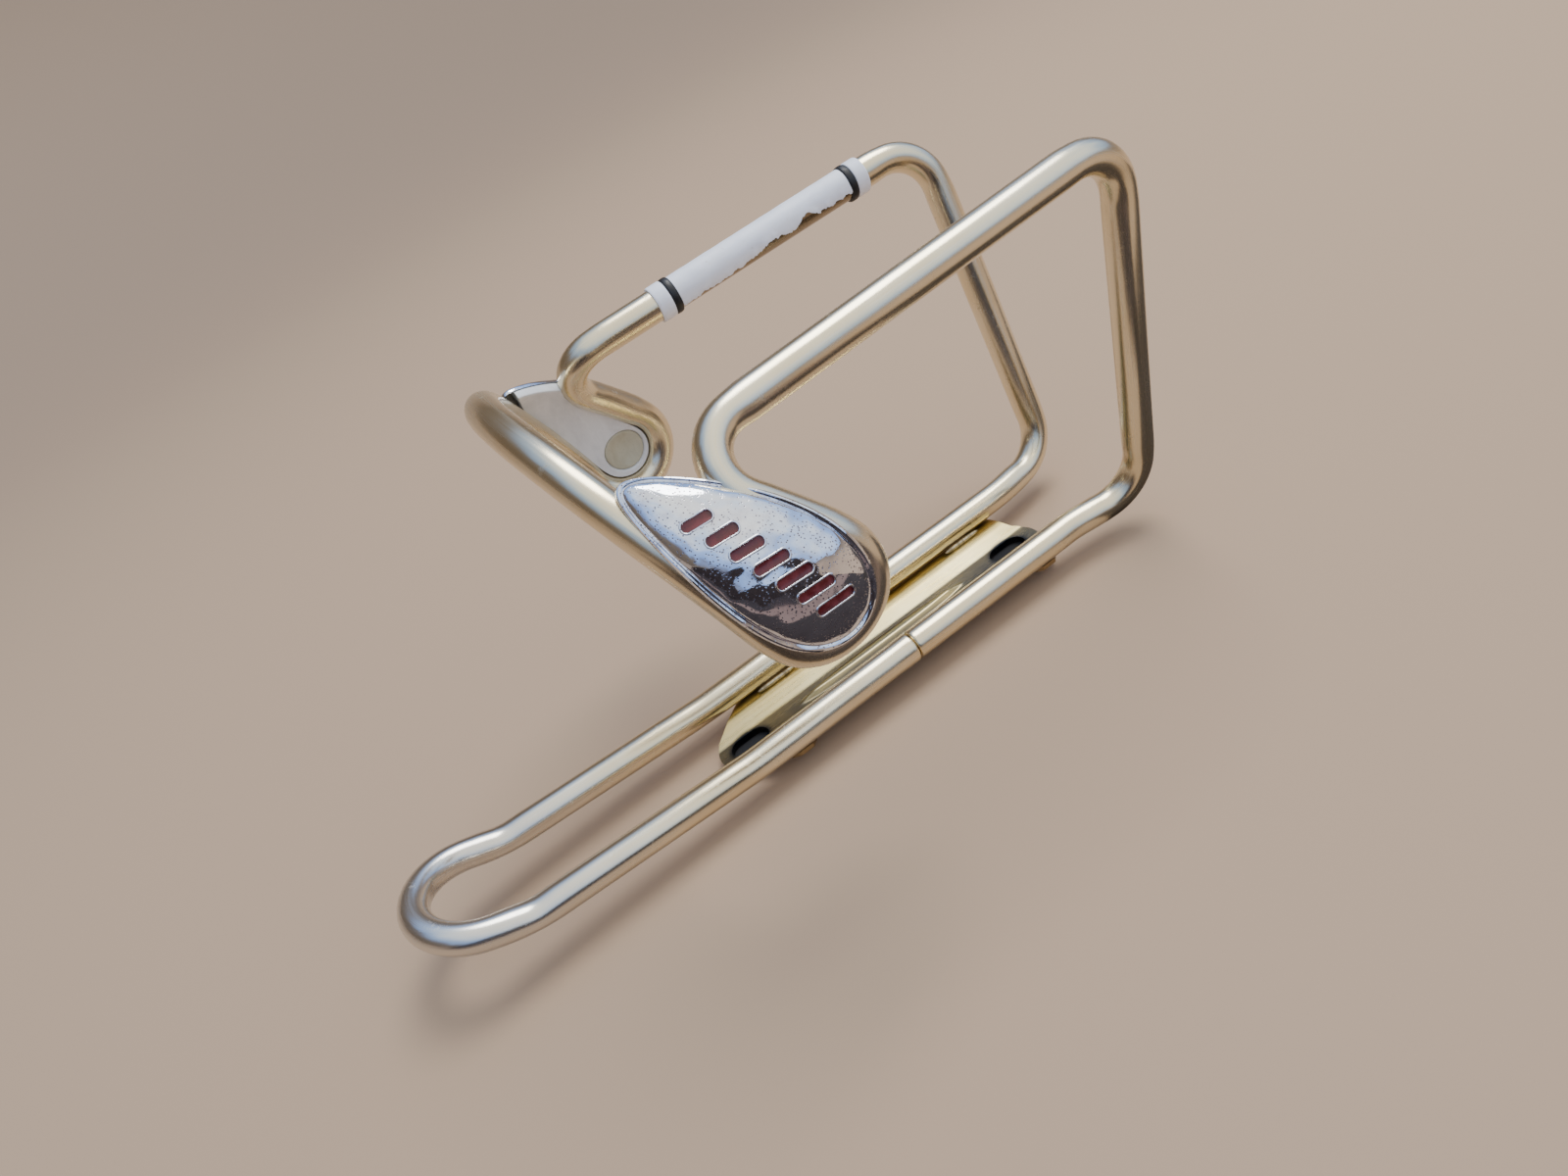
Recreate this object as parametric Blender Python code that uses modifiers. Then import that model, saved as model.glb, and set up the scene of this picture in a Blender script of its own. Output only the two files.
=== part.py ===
"""Water bottle cage: one bent tube, a pressed mounting plate, two chromed badges and a paper label.

Metres, +Z up. The cage lies on its back: the plate's back face is Z = 0, the rails run along X,
the bottle slides in from -X and stands on the arms at +X. The near side is -Y, the far side +Y.
"""
from math import asin, atan2, cos, hypot, pi, sin, tan

import bmesh
import bpy
from mathutils import Matrix, Vector

MM = 0.001

# Origin of the layout below, seen from the plate's back face midway between the bolts
LIFT = 6.0
SHIFT = -5.45

# Tube
TUBE_R = 3.0
RAIL_Y = 11.45
SEAM_X = 6.3
SEAM_GAP = 0.3
PIN_R = 2.0
PIN_LEN = 24.0
CLEAR = 0.3

# Tongue and rails
KINK_LOW = (-31.1, 0.0)
KINK_HIGH = (-76.5, 3.0)
TONGUE_ANGLE = 0.36
TONGUE_LEN = 18.75

# Arms that carry the bottle's base
FLARE = (47.4, -RAIL_Y, 0.0)
ARM_FOOT = (63.9, -14.25, 0.0)
ARM_TOP = (64.9, -26.0, 70.5)

# Side loops, laid out on the bottle's cylinder and unrolled as (x, arc length)
BAY_R = 41.0
BAY_Z = 39.5
HAIRPIN = (-24.1, 31.8)
HAIRPIN_R = 6.9
HAIRPIN_RISE = 0.4
NOSE = (-14.3, 4.6)
NOSE_R = 8.6
ARCH_X = -35.8
ARCH_R = 138.9
ARCH_DROP = 5.0
DROP_FROM = 5.4

# Mounting plate
PLATE_T = 1.4
PLATE_TOP = -3.3
PLATE_FLOOR = -4.6
PLATE_HALF = 12.5
FLOOR_HALF = 3.0
FLANK_HALF = 8.3
PLATE_X = (-24.0, 42.0)
TONGUE_R = 6.8
SLOT_X = (-28.3, 38.9)
SLOT_LEN = 8.5
SLOT_W = 5.2
RIB_X = (-17.0, 27.5)
RIB_HALF = 1.9
RIB_H = 0.9

# Badge, in the same unrolled layout: an egg outline round its middle, its sharp end up
BADGE_MID = (-20.0, 14.9)
BADGE_TURN = 2.093
BADGE_HALF = (18.8, 8.4)
BADGE_TAPER = 0.4
BADGE_SIDES = 44
CAP_BASE = 44.35
CAP_PROFILE = [(0.0, 0.0), (0.35, 0.0), (0.7, 0.0), (1.0, 0.0), (1.0, 0.55), (0.97, 0.95), (0.93, 1.0),
               (0.9, 0.8), (0.8, 1.8), (0.6, 2.55), (0.3, 3.0), (0.0, 3.1)]
PAD_BASE = 39.9
PAD_T = 3.7
PAD_SCALE = 0.9
STUD_AT = (-13.9, 4.6)
STUD_R = 4.2
STUD_T = 0.6
BAR_COUNT = 7
BAR_START = -11.7
BAR_PITCH = 3.3
BAR_LEN = 6.2
BAR_SHRINK = 0.28
BAR_W = 1.2
BAR_SLANT = 1.0
BAR_SINK = 0.35
RECESS_FLOOR = 1.0

# Paper label on the far bar: start and end of each piece along X
LABEL_R = (3.3, 3.6)
LABEL_SPANS = {
    "label_collar_inner": (2.7, 5.2),
    "label_band_inner": (5.5, 7.2),
    "label_wrap": (7.5, 46.0),
    "label_band_outer": (46.3, 48.0),
    "label_collar_outer": (48.3, 50.6),
}

# Brazing between rail and plate
BRAZE_X = (-16.0, 34.0)
BRAZE_LEN = 9.0
BRAZE_R = 0.5
BRAZE_YZ = (8.5, -2.5)


def start_scene():
    """Empty scene with one collection for the cage and a hidden one for cutters."""
    for obj in list(bpy.data.objects):
        bpy.data.objects.remove(obj, do_unlink=True)
    cage = bpy.data.collections.new("water_bottle_cage")
    cutters = bpy.data.collections.new("cutters")
    cutters.hide_render = True
    for col in (cage, cutters):
        bpy.context.scene.collection.children.link(col)
    return cage, cutters


def material(name, colour, metallic, roughness):
    """Principled material."""
    mat = bpy.data.materials.get(name) or bpy.data.materials.new(name)
    mat.use_nodes = True
    shader = mat.node_tree.nodes["Principled BSDF"]
    shader.inputs["Base Color"].default_value = (*colour, 1.0)
    shader.inputs["Metallic"].default_value = metallic
    shader.inputs["Roughness"].default_value = roughness
    return mat


def place(obj, collection):
    """Move an object into one collection only."""
    for col in list(obj.users_collection):
        col.objects.unlink(obj)
    collection.objects.link(obj)
    return obj


def finish(obj, mat):
    """Give the object its material."""
    obj.data.materials.clear()
    obj.data.materials.append(mat)
    return obj


def to_mesh(obj, name):
    """Mesh object with all modifiers of obj applied; obj itself is removed."""
    graph = bpy.context.evaluated_depsgraph_get()
    mesh = bpy.data.meshes.new_from_object(obj.evaluated_get(graph), depsgraph=graph)
    bm = bmesh.new()
    bm.from_mesh(mesh)
    bmesh.ops.remove_doubles(bm, verts=bm.verts, dist=1e-6)
    bmesh.ops.recalc_face_normals(bm, faces=bm.faces)
    bm.to_mesh(mesh)
    bm.free()
    out = bpy.data.objects.new(name, mesh)
    out.matrix_world = obj.matrix_world.copy()
    obj.users_collection[0].objects.link(out)
    bpy.data.objects.remove(obj, do_unlink=True)
    return out


def boolean(obj, tool, operation):
    """Exact Boolean with a cutter that is removed afterwards."""
    mod = obj.modifiers.new("cut", "BOOLEAN")
    mod.operation = operation
    mod.solver = "EXACT"
    mod.object = tool
    bpy.context.view_layer.update()
    name = obj.name
    obj.name = name + "_uncut"
    out = to_mesh(obj, name)
    bpy.data.objects.remove(tool, do_unlink=True)
    return out


def world(point):
    """Layout millimetres to world metres."""
    return Vector((point[0] + SHIFT, point[1], point[2] + LIFT)) * MM


def on_bay(x, arc, radius=BAY_R, side=-1):
    """Layout point at radius from the bottle axis, arc measured up from the widest height."""
    turn = arc / BAY_R
    return Vector((x, side * radius * cos(turn), BAY_Z + radius * sin(turn)))


def drop(arc):
    """How far the arch and the badges sink below the bottle's cylinder at this arc."""
    share = (arc - DROP_FROM) / (BAY_R * pi / 2 - DROP_FROM)
    return ARCH_DROP * (1 - cos(pi * max(0.0, share))) / 2


def fillet(corners, radii, steps):
    """Open polyline through 3-D corners, each inner corner rounded to its radius."""
    points = [Vector(corners[0])]
    for i in range(1, len(corners) - 1):
        here = Vector(corners[i])
        back = (Vector(corners[i - 1]) - here).normalized()
        ahead = (Vector(corners[i + 1]) - here).normalized()
        angle = back.angle(ahead)
        reach = radii[i - 1] / tan(angle / 2)
        centre = here + (back + ahead).normalized() * radii[i - 1] / sin(angle / 2)
        first = here + back * reach - centre
        last = here + ahead * reach - centre
        sweep = pi - angle
        for k in range(steps[i - 1] + 1):
            t = sweep * k / steps[i - 1]
            points.append(centre + (first * sin(sweep - t) + last * sin(t)) / sin(sweep))
    points.append(Vector(corners[-1]))
    return points


def arc_points(centre, radius, start, end, steps):
    """Points on an arc for a path that turns right, given its headings."""
    out = []
    for k in range(steps + 1):
        heading = start + (end - start) * k / steps
        out.append((centre[0] - radius * sin(heading), centre[1] + radius * cos(heading)))
    return out


def loop_layout():
    """Unrolled path (x, arc, rise) of one side loop, from the hairpin round the nose to the crown."""
    to_nose = (NOSE[0] - HAIRPIN[0], NOSE[1] - HAIRPIN[1])
    down = atan2(to_nose[1], to_nose[0]) + asin(NOSE_R / hypot(*to_nose))
    reach = HAIRPIN_R * tan((down + pi) / 2)
    bend = (HAIRPIN[0] + reach, HAIRPIN[1] - HAIRPIN_R)
    crown = BAY_R * pi / 2
    arch = (ARCH_X + ARCH_R, crown)
    to_arch = (arch[0] - NOSE[0], arch[1] - NOSE[1])
    up = atan2(to_arch[1], to_arch[0]) + asin((ARCH_R - NOSE_R) / hypot(*to_arch))
    path = [(x, s, HAIRPIN_RISE) for x, s in arc_points(bend, -HAIRPIN_R, pi, 2 * pi + down, 11)]
    path += [(x, s, 0.0) for x, s in arc_points(NOSE, NOSE_R, down, up - 2 * pi, 18)]
    path += [(x, s, -drop(s)) for x, s in arc_points(arch, ARCH_R, up, pi / 2, 9)]
    return path


def loop_path():
    """The side loop's centre line in space."""
    loop = loop_layout()
    wire = [on_bay(loop[0][0], loop[0][1], BAY_R + loop[0][2])]
    for a, b in zip(loop, loop[1:]):
        count = max(1, round(hypot(b[0] - a[0], b[1] - a[1]) / 5.0))
        for k in range(1, count + 1):
            x, arc, rise = (p + (q - p) * k / count for p, q in zip(a, b))
            if b[2] < 0:
                rise = -drop(arc)
            wire.append(on_bay(x, arc, BAY_R + rise))
    return wire


def side_path():
    """Near half of the tube: from the rail's seam along the arm, bar and loop to the crown."""
    loop = loop_path()
    start = (SEAM_X + SEAM_GAP / 2, -RAIL_Y, 0.0)
    wire = fillet([start, FLARE, ARM_FOOT, ARM_TOP, loop[0]], [25.0, 9.0, 9.5], [3, 8, 8])
    return wire + loop[1:]


def tongue_path():
    """Far rail's straight, the rising tongue and the near rail up to the seam."""
    slope = Vector((-cos(TONGUE_ANGLE), 0.0, sin(TONGUE_ANGLE)))
    high = Vector((KINK_HIGH[0], 0.0, KINK_HIGH[1]))
    half = []
    for k in range(9):
        t = pi / 2 * k / 8
        run = TONGUE_LEN - RAIL_Y + RAIL_Y * cos(t)
        half.append(high + slope * run + Vector((0.0, RAIL_Y * sin(t), 0.0)))
    corners = [
        half[-1],
        (KINK_HIGH[0], RAIL_Y, KINK_HIGH[1]),
        (KINK_LOW[0], RAIL_Y, KINK_LOW[1]),
        (SEAM_X - SEAM_GAP / 2, RAIL_Y, 0.0),
    ]
    rail = fillet(corners, [25.0, 80.0], [3, 3])
    far = half[:-1] + rail
    near = [Vector((p.x, -p.y, p.z)) for p in far]
    return far[:0:-1] + near


def wire_tube(name, points, radius, collection):
    """Closed solid of a round wire through the points."""
    curve = bpy.data.curves.new(name, "CURVE")
    curve.dimensions = "3D"
    curve.bevel_depth = radius * MM
    curve.bevel_resolution = 2
    curve.use_fill_caps = True
    spline = curve.splines.new("POLY")
    spline.points.add(len(points) - 1)
    for target, point in zip(spline.points, points):
        target.co = (*world(point), 1.0)
    wire = place(bpy.data.objects.new(name + "_path", curve), collection)
    return to_mesh(wire, name)


def frame_tube(cage, cutters):
    """Bent tube whose two ends meet at the seam on the near rail."""
    side = side_path()
    far = [Vector((p.x, -p.y, p.z)) for p in reversed(side[:-1])]
    points = side + far[:-1] + tongue_path()
    tube = wire_tube("frame_tube", points, TUBE_R, cage)
    bore = rail_rod("seam_bore", PIN_R + CLEAR, PIN_LEN + 2 * CLEAR, cutters)
    tube = boolean(tube, bore, "DIFFERENCE")
    return finish(tube, material("anodised_tube", (0.72, 0.69, 0.58), 1.0, 0.3))


def rail_rod(name, radius, length, collection):
    """Cylinder along X, centred on the near rail's seam."""
    bpy.ops.mesh.primitive_cylinder_add(vertices=16, radius=radius * MM, depth=length * MM)
    rod = bpy.context.object
    rod.name = name
    rod.rotation_euler = (0.0, pi / 2, 0.0)
    rod.location = world((SEAM_X, -RAIL_Y, 0.0))
    bpy.context.view_layer.update()
    return place(rod, collection)


def joint_pin(cage):
    """Dowel inside the two tube ends."""
    pin = rail_rod("joint_pin", PIN_R, PIN_LEN, cage)
    return finish(pin, material("dowel", (0.6, 0.6, 0.6), 1.0, 0.4))


def outline_prism(name, outline, low, high, collection):
    """Closed solid from a flat outline in layout millimetres, between two heights."""
    curve = bpy.data.curves.new(name, "CURVE")
    curve.dimensions = "2D"
    curve.fill_mode = "BOTH"
    curve.extrude = (high - low) / 2 * MM
    spline = curve.splines.new("POLY")
    spline.points.add(len(outline) - 1)
    for target, (x, y) in zip(spline.points, outline):
        target.co = (x * MM, y * MM, 0.0, 1.0)
    spline.use_cyclic_u = True
    flat = place(bpy.data.objects.new(name + "_outline", curve), collection)
    flat.location = (0.0, 0.0, (low + high) / 2 * MM)
    bpy.context.view_layer.update()
    solid = to_mesh(flat, name)
    solid.data.transform(solid.matrix_world)
    solid.matrix_world.identity()
    return solid


def capsule(centre, length, width, angle, steps=6):
    """Outline of a bar with round ends, its long side turned by angle."""
    out = []
    for end, sign in ((0.0, 1), (pi, -1)):
        for k in range(steps + 1):
            t = end - pi / 2 + pi * k / steps
            u = sign * (length - width) / 2 + width / 2 * cos(t)
            v = width / 2 * sin(t)
            out.append((centre[0] + u * cos(angle) - v * sin(angle),
                        centre[1] + u * sin(angle) + v * cos(angle)))
    return out


def plate_outline():
    """Plate seen from above: straight sides, tapered ends and a round tongue at each slot."""
    right = []
    left = []
    for k in range(9):
        t = -pi / 4 + pi / 2 * k / 8
        right.append((SLOT_X[1] + TONGUE_R * cos(t) + 0.6, TONGUE_R * sin(t)))
        left.append((SLOT_X[0] - TONGUE_R * cos(t), -TONGUE_R * sin(t)))
    return ([(PLATE_X[0] + 1.0, -PLATE_HALF), (PLATE_X[1] - 1.0, -PLATE_HALF),
             (PLATE_X[1] + 0.4, -PLATE_HALF + 1.4)] + right
            + [(PLATE_X[1] + 0.4, PLATE_HALF - 1.4), (PLATE_X[1] - 1.0, PLATE_HALF),
               (PLATE_X[0] + 1.0, PLATE_HALF), (PLATE_X[0] - 0.8, PLATE_HALF - 1.2)] + left
            + [(PLATE_X[0] - 0.8, -PLATE_HALF + 1.2)])


def mount_plate(cage, cutters):
    """Pressed plate: a dished section run along X, trimmed to its outline and slotted."""
    section = [(-PLATE_HALF - 1, PLATE_TOP), (-FLANK_HALF, PLATE_TOP), (-FLOOR_HALF, PLATE_FLOOR),
               (FLOOR_HALF, PLATE_FLOOR), (FLANK_HALF, PLATE_TOP), (PLATE_HALF + 1, PLATE_TOP)]
    ends = (SLOT_X[0] - 10.0, SLOT_X[1] + 10.0)
    bm = bmesh.new()
    verts = [bm.verts.new((ends[0] * MM, y * MM, z * MM)) for y, z in section]
    edges = [bm.edges.new(pair) for pair in zip(verts, verts[1:])]
    swept = bmesh.ops.extrude_edge_only(bm, edges=edges)["geom"]
    moved = [v for v in swept if isinstance(v, bmesh.types.BMVert)]
    bmesh.ops.translate(bm, verts=moved, vec=((ends[1] - ends[0]) * MM, 0.0, 0.0))
    bmesh.ops.recalc_face_normals(bm, faces=bm.faces)
    mesh = bpy.data.meshes.new("plate_sheet")
    bm.to_mesh(mesh)
    bm.free()
    sheet = place(bpy.data.objects.new("plate_sheet", mesh), cage)
    upward = mesh.polygons[0].normal.z > 0
    skin = sheet.modifiers.new("sheet", "SOLIDIFY")
    skin.thickness = PLATE_T * MM
    skin.offset = -1.0 if upward else 1.0
    skin.use_even_offset = True
    plate = to_mesh(sheet, "mount_plate")
    trim = outline_prism("plate_trim", plate_outline(), -10.0, 0.0, cutters)
    plate = boolean(plate, trim, "INTERSECT")
    plate = boolean(plate, rib_solid(cutters), "UNION")
    for x in SLOT_X:
        hole = capsule((x, 0.0), SLOT_LEN, SLOT_W, 0.0, 8)
        slot = outline_prism("slot", hole, -10.0, 0.0, cutters)
        plate = boolean(plate, slot, "DIFFERENCE")
    plate.data.transform(layout_matrix())
    return finish(plate, material("anodised_plate", (0.74, 0.69, 0.50), 1.0, 0.4))


def layout_matrix():
    """Shift from the layout's origin to the plate's back face."""
    return Matrix.Translation(world((0.0, 0.0, 0.0)))


def rib_solid(cutters):
    """Raised rib with pointed ends, rooted inside the plate's floor."""
    mid = (RIB_X[0] + RIB_X[1]) / 2
    half = (RIB_X[1] - RIB_X[0]) / 2
    outline = []
    for sign in (1, -1):
        for k in range(8):
            t = -1 + 2 * k / 8
            outline.append((mid + sign * half * t, -sign * RIB_HALF * (1 - abs(t) ** 3)))
    root = PLATE_FLOOR - PLATE_T / 2
    return outline_prism("rib", outline, root, PLATE_FLOOR + RIB_H, cutters)


def badge_point(along, across):
    """Badge coordinates, along its long axis and across it, to the unrolled layout."""
    x = BADGE_MID[0] + along * cos(BADGE_TURN) - across * sin(BADGE_TURN)
    arc = BADGE_MID[1] + along * sin(BADGE_TURN) + across * cos(BADGE_TURN)
    return x, arc


def egg_solid(name, profile, scale, collection):
    """Flat closed solid: rings of the egg outline, one per (size, height) of the profile."""
    bm = bmesh.new()
    bmesh.ops.create_grid(bm, x_segments=BADGE_SIDES, y_segments=len(profile) - 1, size=1.0)
    for vert in bm.verts:
        turn = (vert.co.x + 1) * pi
        size, height = profile[round((vert.co.y + 1) / 2 * (len(profile) - 1))]
        along = BADGE_HALF[0] * cos(turn)
        across = BADGE_HALF[1] * sin(turn) * (1 - BADGE_TAPER * cos(turn))
        x, arc = badge_point(along * size * scale, across * size * scale)
        vert.co = (x * MM, arc * MM, height * MM)
    bmesh.ops.remove_doubles(bm, verts=bm.verts, dist=1e-7)
    bmesh.ops.recalc_face_normals(bm, faces=bm.faces)
    mesh = bpy.data.meshes.new(name)
    bm.to_mesh(mesh)
    bm.free()
    return place(bpy.data.objects.new(name, mesh), collection)


def wrap(obj, base, side):
    """Bend a flat solid round the bottle's cylinder, its zero height at the base radius."""
    bm = bmesh.new()
    bm.from_mesh(obj.data)
    for vert in bm.verts:
        x, arc, height = vert.co / MM
        vert.co = world(on_bay(x, arc, base + height - drop(arc), side))
    if side > 0:
        bmesh.ops.reverse_faces(bm, faces=bm.faces)
    bm.to_mesh(obj.data)
    bm.free()
    return obj


def bar_outline(index, width):
    """Capsule outline of one slanted bar of the row; the bars shorten towards the tip."""
    centre = badge_point(BAR_START + BAR_PITCH * index, 0.0)
    length = BAR_LEN - BAR_SHRINK * index + width - BAR_W
    return capsule(centre, length, width, BADGE_TURN + BAR_SLANT)


def tube_groove(side, cutters):
    """Cutter a little wider than the tube, along one side loop."""
    path = [Vector((p.x, -side * p.y, p.z)) for p in loop_path()]
    return wire_tube("loop_cutter", path, TUBE_R + CLEAR, cutters)


def badge_cap(side, label, cage, cutters):
    """Chromed dome with a rolled rim and a row of slanted recesses, seated on the tube."""
    cap = egg_solid("badge_cap_" + label, CAP_PROFILE, 1.0, cage)
    for k in range(BAR_COUNT):
        tool = outline_prism("recess", bar_outline(k, BAR_W + 2 * CLEAR), RECESS_FLOOR, 6.0, cutters)
        cap = boolean(cap, tool, "DIFFERENCE")
    wrap(cap, CAP_BASE, side)
    cap = boolean(cap, tube_groove(side, cutters), "DIFFERENCE")
    return finish(cap, material("chrome_cap", (0.85, 0.86, 0.88), 1.0, 0.08))


def badge_bars(side, label, cage, cutters):
    """Enamel infill of each recess."""
    sunk = [(size, height - BAR_SINK) for size, height in CAP_PROFILE]
    for k in range(BAR_COUNT):
        name = f"badge_bar_{label}_{k + 1}"
        bar = outline_prism(name, bar_outline(k, BAR_W), RECESS_FLOOR + CLEAR, 6.0, cage)
        bar = boolean(bar, egg_solid("lowered_cap", sunk, 1.0, cutters), "INTERSECT")
        wrap(bar, CAP_BASE, side)
        finish(bar, material("red_enamel", (0.16, 0.015, 0.02), 0.0, 0.3))


def badge_pad(side, label, cage, cutters):
    """Moulded back half of the badge, filling the loop up to the tube."""
    low = [(size, 0.0) for size in (0.0, 0.35, 0.7, 1.0)]
    high = [(size, PAD_T) for size in (1.0, 0.7, 0.35, 0.0)]
    pad = egg_solid("badge_pad_" + label, low + high, PAD_SCALE, cage)
    wrap(pad, PAD_BASE, side)
    pad = boolean(pad, tube_groove(side, cutters), "DIFFERENCE")
    seat = outline_prism("stud_seat", disc(STUD_R + CLEAR), -1.0, STUD_T + 2 * CLEAR, cutters)
    wrap(seat, PAD_BASE, side)
    pad = boolean(pad, seat, "DIFFERENCE")
    return finish(pad, material("grey_plastic", (0.42, 0.42, 0.43), 0.0, 0.35))


def disc(radius, count=24):
    """Round outline at the stud's place."""
    turns = [2 * pi * k / count for k in range(count)]
    return [(STUD_AT[0] + radius * cos(t), STUD_AT[1] + radius * sin(t)) for t in turns]


def badge_stud(side, label, cage):
    """Round head that clinches the back half to the cap."""
    stud = outline_prism("badge_stud_" + label, disc(STUD_R), CLEAR, CLEAR + STUD_T, cage)
    wrap(stud, PAD_BASE, side)
    return finish(stud, material("grey_stud", (0.36, 0.36, 0.33), 0.0, 0.3))


def label_piece(name, span, cage):
    """Thin sleeve round the far bar between two places along X."""
    top = Vector((ARM_TOP[0], -ARM_TOP[1], ARM_TOP[2]))
    end = loop_path()[0]
    axis = Vector((end.x, -end.y, end.z)) - top
    slide = [(x - top.x) / axis.x for x in span]
    start, stop = (top + axis * t for t in slide)
    length = (stop - start).length
    bm = bmesh.new()
    corners = [(LABEL_R[0], 0.0), (LABEL_R[1], 0.0), (LABEL_R[1], length), (LABEL_R[0], length)]
    verts = [bm.verts.new((r * MM, 0.0, z * MM)) for r, z in corners]
    for a, b in zip(verts, verts[1:] + verts[:1]):
        bm.edges.new((a, b))
    mesh = bpy.data.meshes.new(name)
    bm.to_mesh(mesh)
    bm.free()
    profile = place(bpy.data.objects.new(name + "_profile", mesh), cage)
    turn = profile.modifiers.new("turn", "SCREW")
    turn.angle = 2 * pi
    turn.steps = 20
    turn.render_steps = 20
    turn.merge_threshold = 0.01 * MM
    profile.rotation_euler = (stop - start).to_track_quat("Z", "Y").to_euler()
    profile.location = world(start)
    bpy.context.view_layer.update()
    sleeve = to_mesh(profile, name)
    if "band" in name:
        return finish(sleeve, material("black_band", (0.01, 0.01, 0.012), 0.0, 0.5))
    return finish(sleeve, material("white_label", (0.75, 0.79, 0.86), 0.0, 0.6))


def brazing(cage):
    """Short fillets of filler metal in the nook between each rail and the plate."""
    for side, label in ((-1, "near"), (1, "far")):
        for x, place_name in zip(BRAZE_X, ("upper", "lower")):
            ends = [(x + d, side * BRAZE_YZ[0], BRAZE_YZ[1]) for d in (-BRAZE_LEN / 2, BRAZE_LEN / 2)]
            bead = wire_tube(f"braze_{label}_{place_name}", ends, BRAZE_R, cage)
            finish(bead, material("filler_metal", (0.6, 0.56, 0.45), 1.0, 0.5))


def main():
    """Build every sub-part."""
    cage, cutters = start_scene()
    frame_tube(cage, cutters)
    joint_pin(cage)
    mount_plate(cage, cutters)
    brazing(cage)
    for side, label in ((-1, "near"), (1, "far")):
        badge_cap(side, label, cage, cutters)
        badge_bars(side, label, cage, cutters)
        badge_pad(side, label, cage, cutters)
        badge_stud(side, label, cage)
    for name, span in LABEL_SPANS.items():
        label_piece(name, span, cage)


main()
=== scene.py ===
"""Looks of the water bottle cage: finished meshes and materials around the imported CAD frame."""
from math import asin, atan2, cos, hypot, pi, sin, sqrt, tan

import bmesh
import bpy
from mathutils import Matrix, Vector, noise

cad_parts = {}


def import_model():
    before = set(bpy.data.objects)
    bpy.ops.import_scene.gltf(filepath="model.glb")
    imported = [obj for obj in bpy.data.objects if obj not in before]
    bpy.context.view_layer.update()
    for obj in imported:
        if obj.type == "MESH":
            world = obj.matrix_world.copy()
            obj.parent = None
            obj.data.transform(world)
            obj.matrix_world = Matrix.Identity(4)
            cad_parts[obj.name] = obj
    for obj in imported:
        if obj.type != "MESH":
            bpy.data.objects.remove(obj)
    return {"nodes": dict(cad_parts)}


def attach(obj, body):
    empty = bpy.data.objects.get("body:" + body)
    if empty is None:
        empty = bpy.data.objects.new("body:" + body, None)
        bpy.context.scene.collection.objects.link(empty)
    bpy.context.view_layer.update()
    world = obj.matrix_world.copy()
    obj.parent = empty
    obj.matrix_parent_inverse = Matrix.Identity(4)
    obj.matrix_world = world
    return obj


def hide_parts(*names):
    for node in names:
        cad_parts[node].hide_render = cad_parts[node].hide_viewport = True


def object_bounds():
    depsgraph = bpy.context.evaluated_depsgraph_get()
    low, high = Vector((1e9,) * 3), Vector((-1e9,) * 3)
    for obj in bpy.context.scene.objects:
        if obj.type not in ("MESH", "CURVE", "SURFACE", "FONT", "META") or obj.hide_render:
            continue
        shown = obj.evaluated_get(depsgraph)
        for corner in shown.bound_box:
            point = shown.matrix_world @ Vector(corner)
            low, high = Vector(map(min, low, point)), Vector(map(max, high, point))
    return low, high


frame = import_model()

CAD_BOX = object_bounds()
MM = 0.001
BODY = "root"
# Vertices nearer than this, in metres, are one
MERGE = 0.000004

# The CAD's layout, in millimetres: its origin seen from the plate's back face
LIFT = 6.0
SHIFT = -5.45

# Tube route, as in the CAD
TUBE_R = 3.0
RAIL_Y = 11.45
SEAM_X = 6.3
SEAM_GAP = 0.16
KINK_LOW = (-31.1, 0.0)
KINK_HIGH = (-76.5, 3.0)
TONGUE_ANGLE = 0.36
TONGUE_LEN = 18.75
FLARE = (47.4, -RAIL_Y, 0.0)
ARM_FOOT = (63.9, -14.25, 0.0)
ARM_TOP = (64.75, -26.0, 70.46)
BAY_R = 41.0
BAY_Z = 39.5
HAIRPIN = (-24.1, 31.8)
HAIRPIN_R = 6.9
HAIRPIN_RISE = 0.4
NOSE = (-14.3, 4.6)
NOSE_R = 8.6
ARCH_X = -35.8
ARCH_R = 138.9
ARCH_DROP = 5.01
DROP_FROM = 5.4
TUBE_SIDES = 32
TUBE_STEP = 1.0
# Short extra rings give the tube's ends their rounded lips: distance from the end, and loss of radius
END_RINGS = (0.06, 0.16, 0.32, 0.6)
END_EASE = (0.62, 0.34, 0.16, 0.03, 0.0)
BELL = 0.09
BELL_RINGS = 10
TUBE_FLATTEN = 0.35

# Plate, as in the CAD
PLATE_T = 1.4
PLATE_TOP = -3.3
PLATE_FLOOR = -4.6
PLATE_HALF = 12.5
WAIST_HALF = 11.2
FLOOR_HALF = 3.0
FLANK_HALF = 8.3
PLATE_X = (-24.0, 42.0)
TONGUE_R = 6.8
SLOT_X = (-28.3, 38.9)
SLOT_LEN = 8.5
SLOT_W = 5.2
RIB_X = (-17.0, 27.5)
RIB_HALF = 1.9
RIB_H = 0.9
SLOT_RING_R = 3.5
EDGE_EASE = 0.22

# Badge, as in the CAD, with a finer rim
BADGE_MID = (-20.0, 14.9)
BADGE_TURN = 2.093
BADGE_HALF = (18.8, 8.4)
BADGE_TAPER = 0.4
CAP_BASE = 44.35
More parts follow.
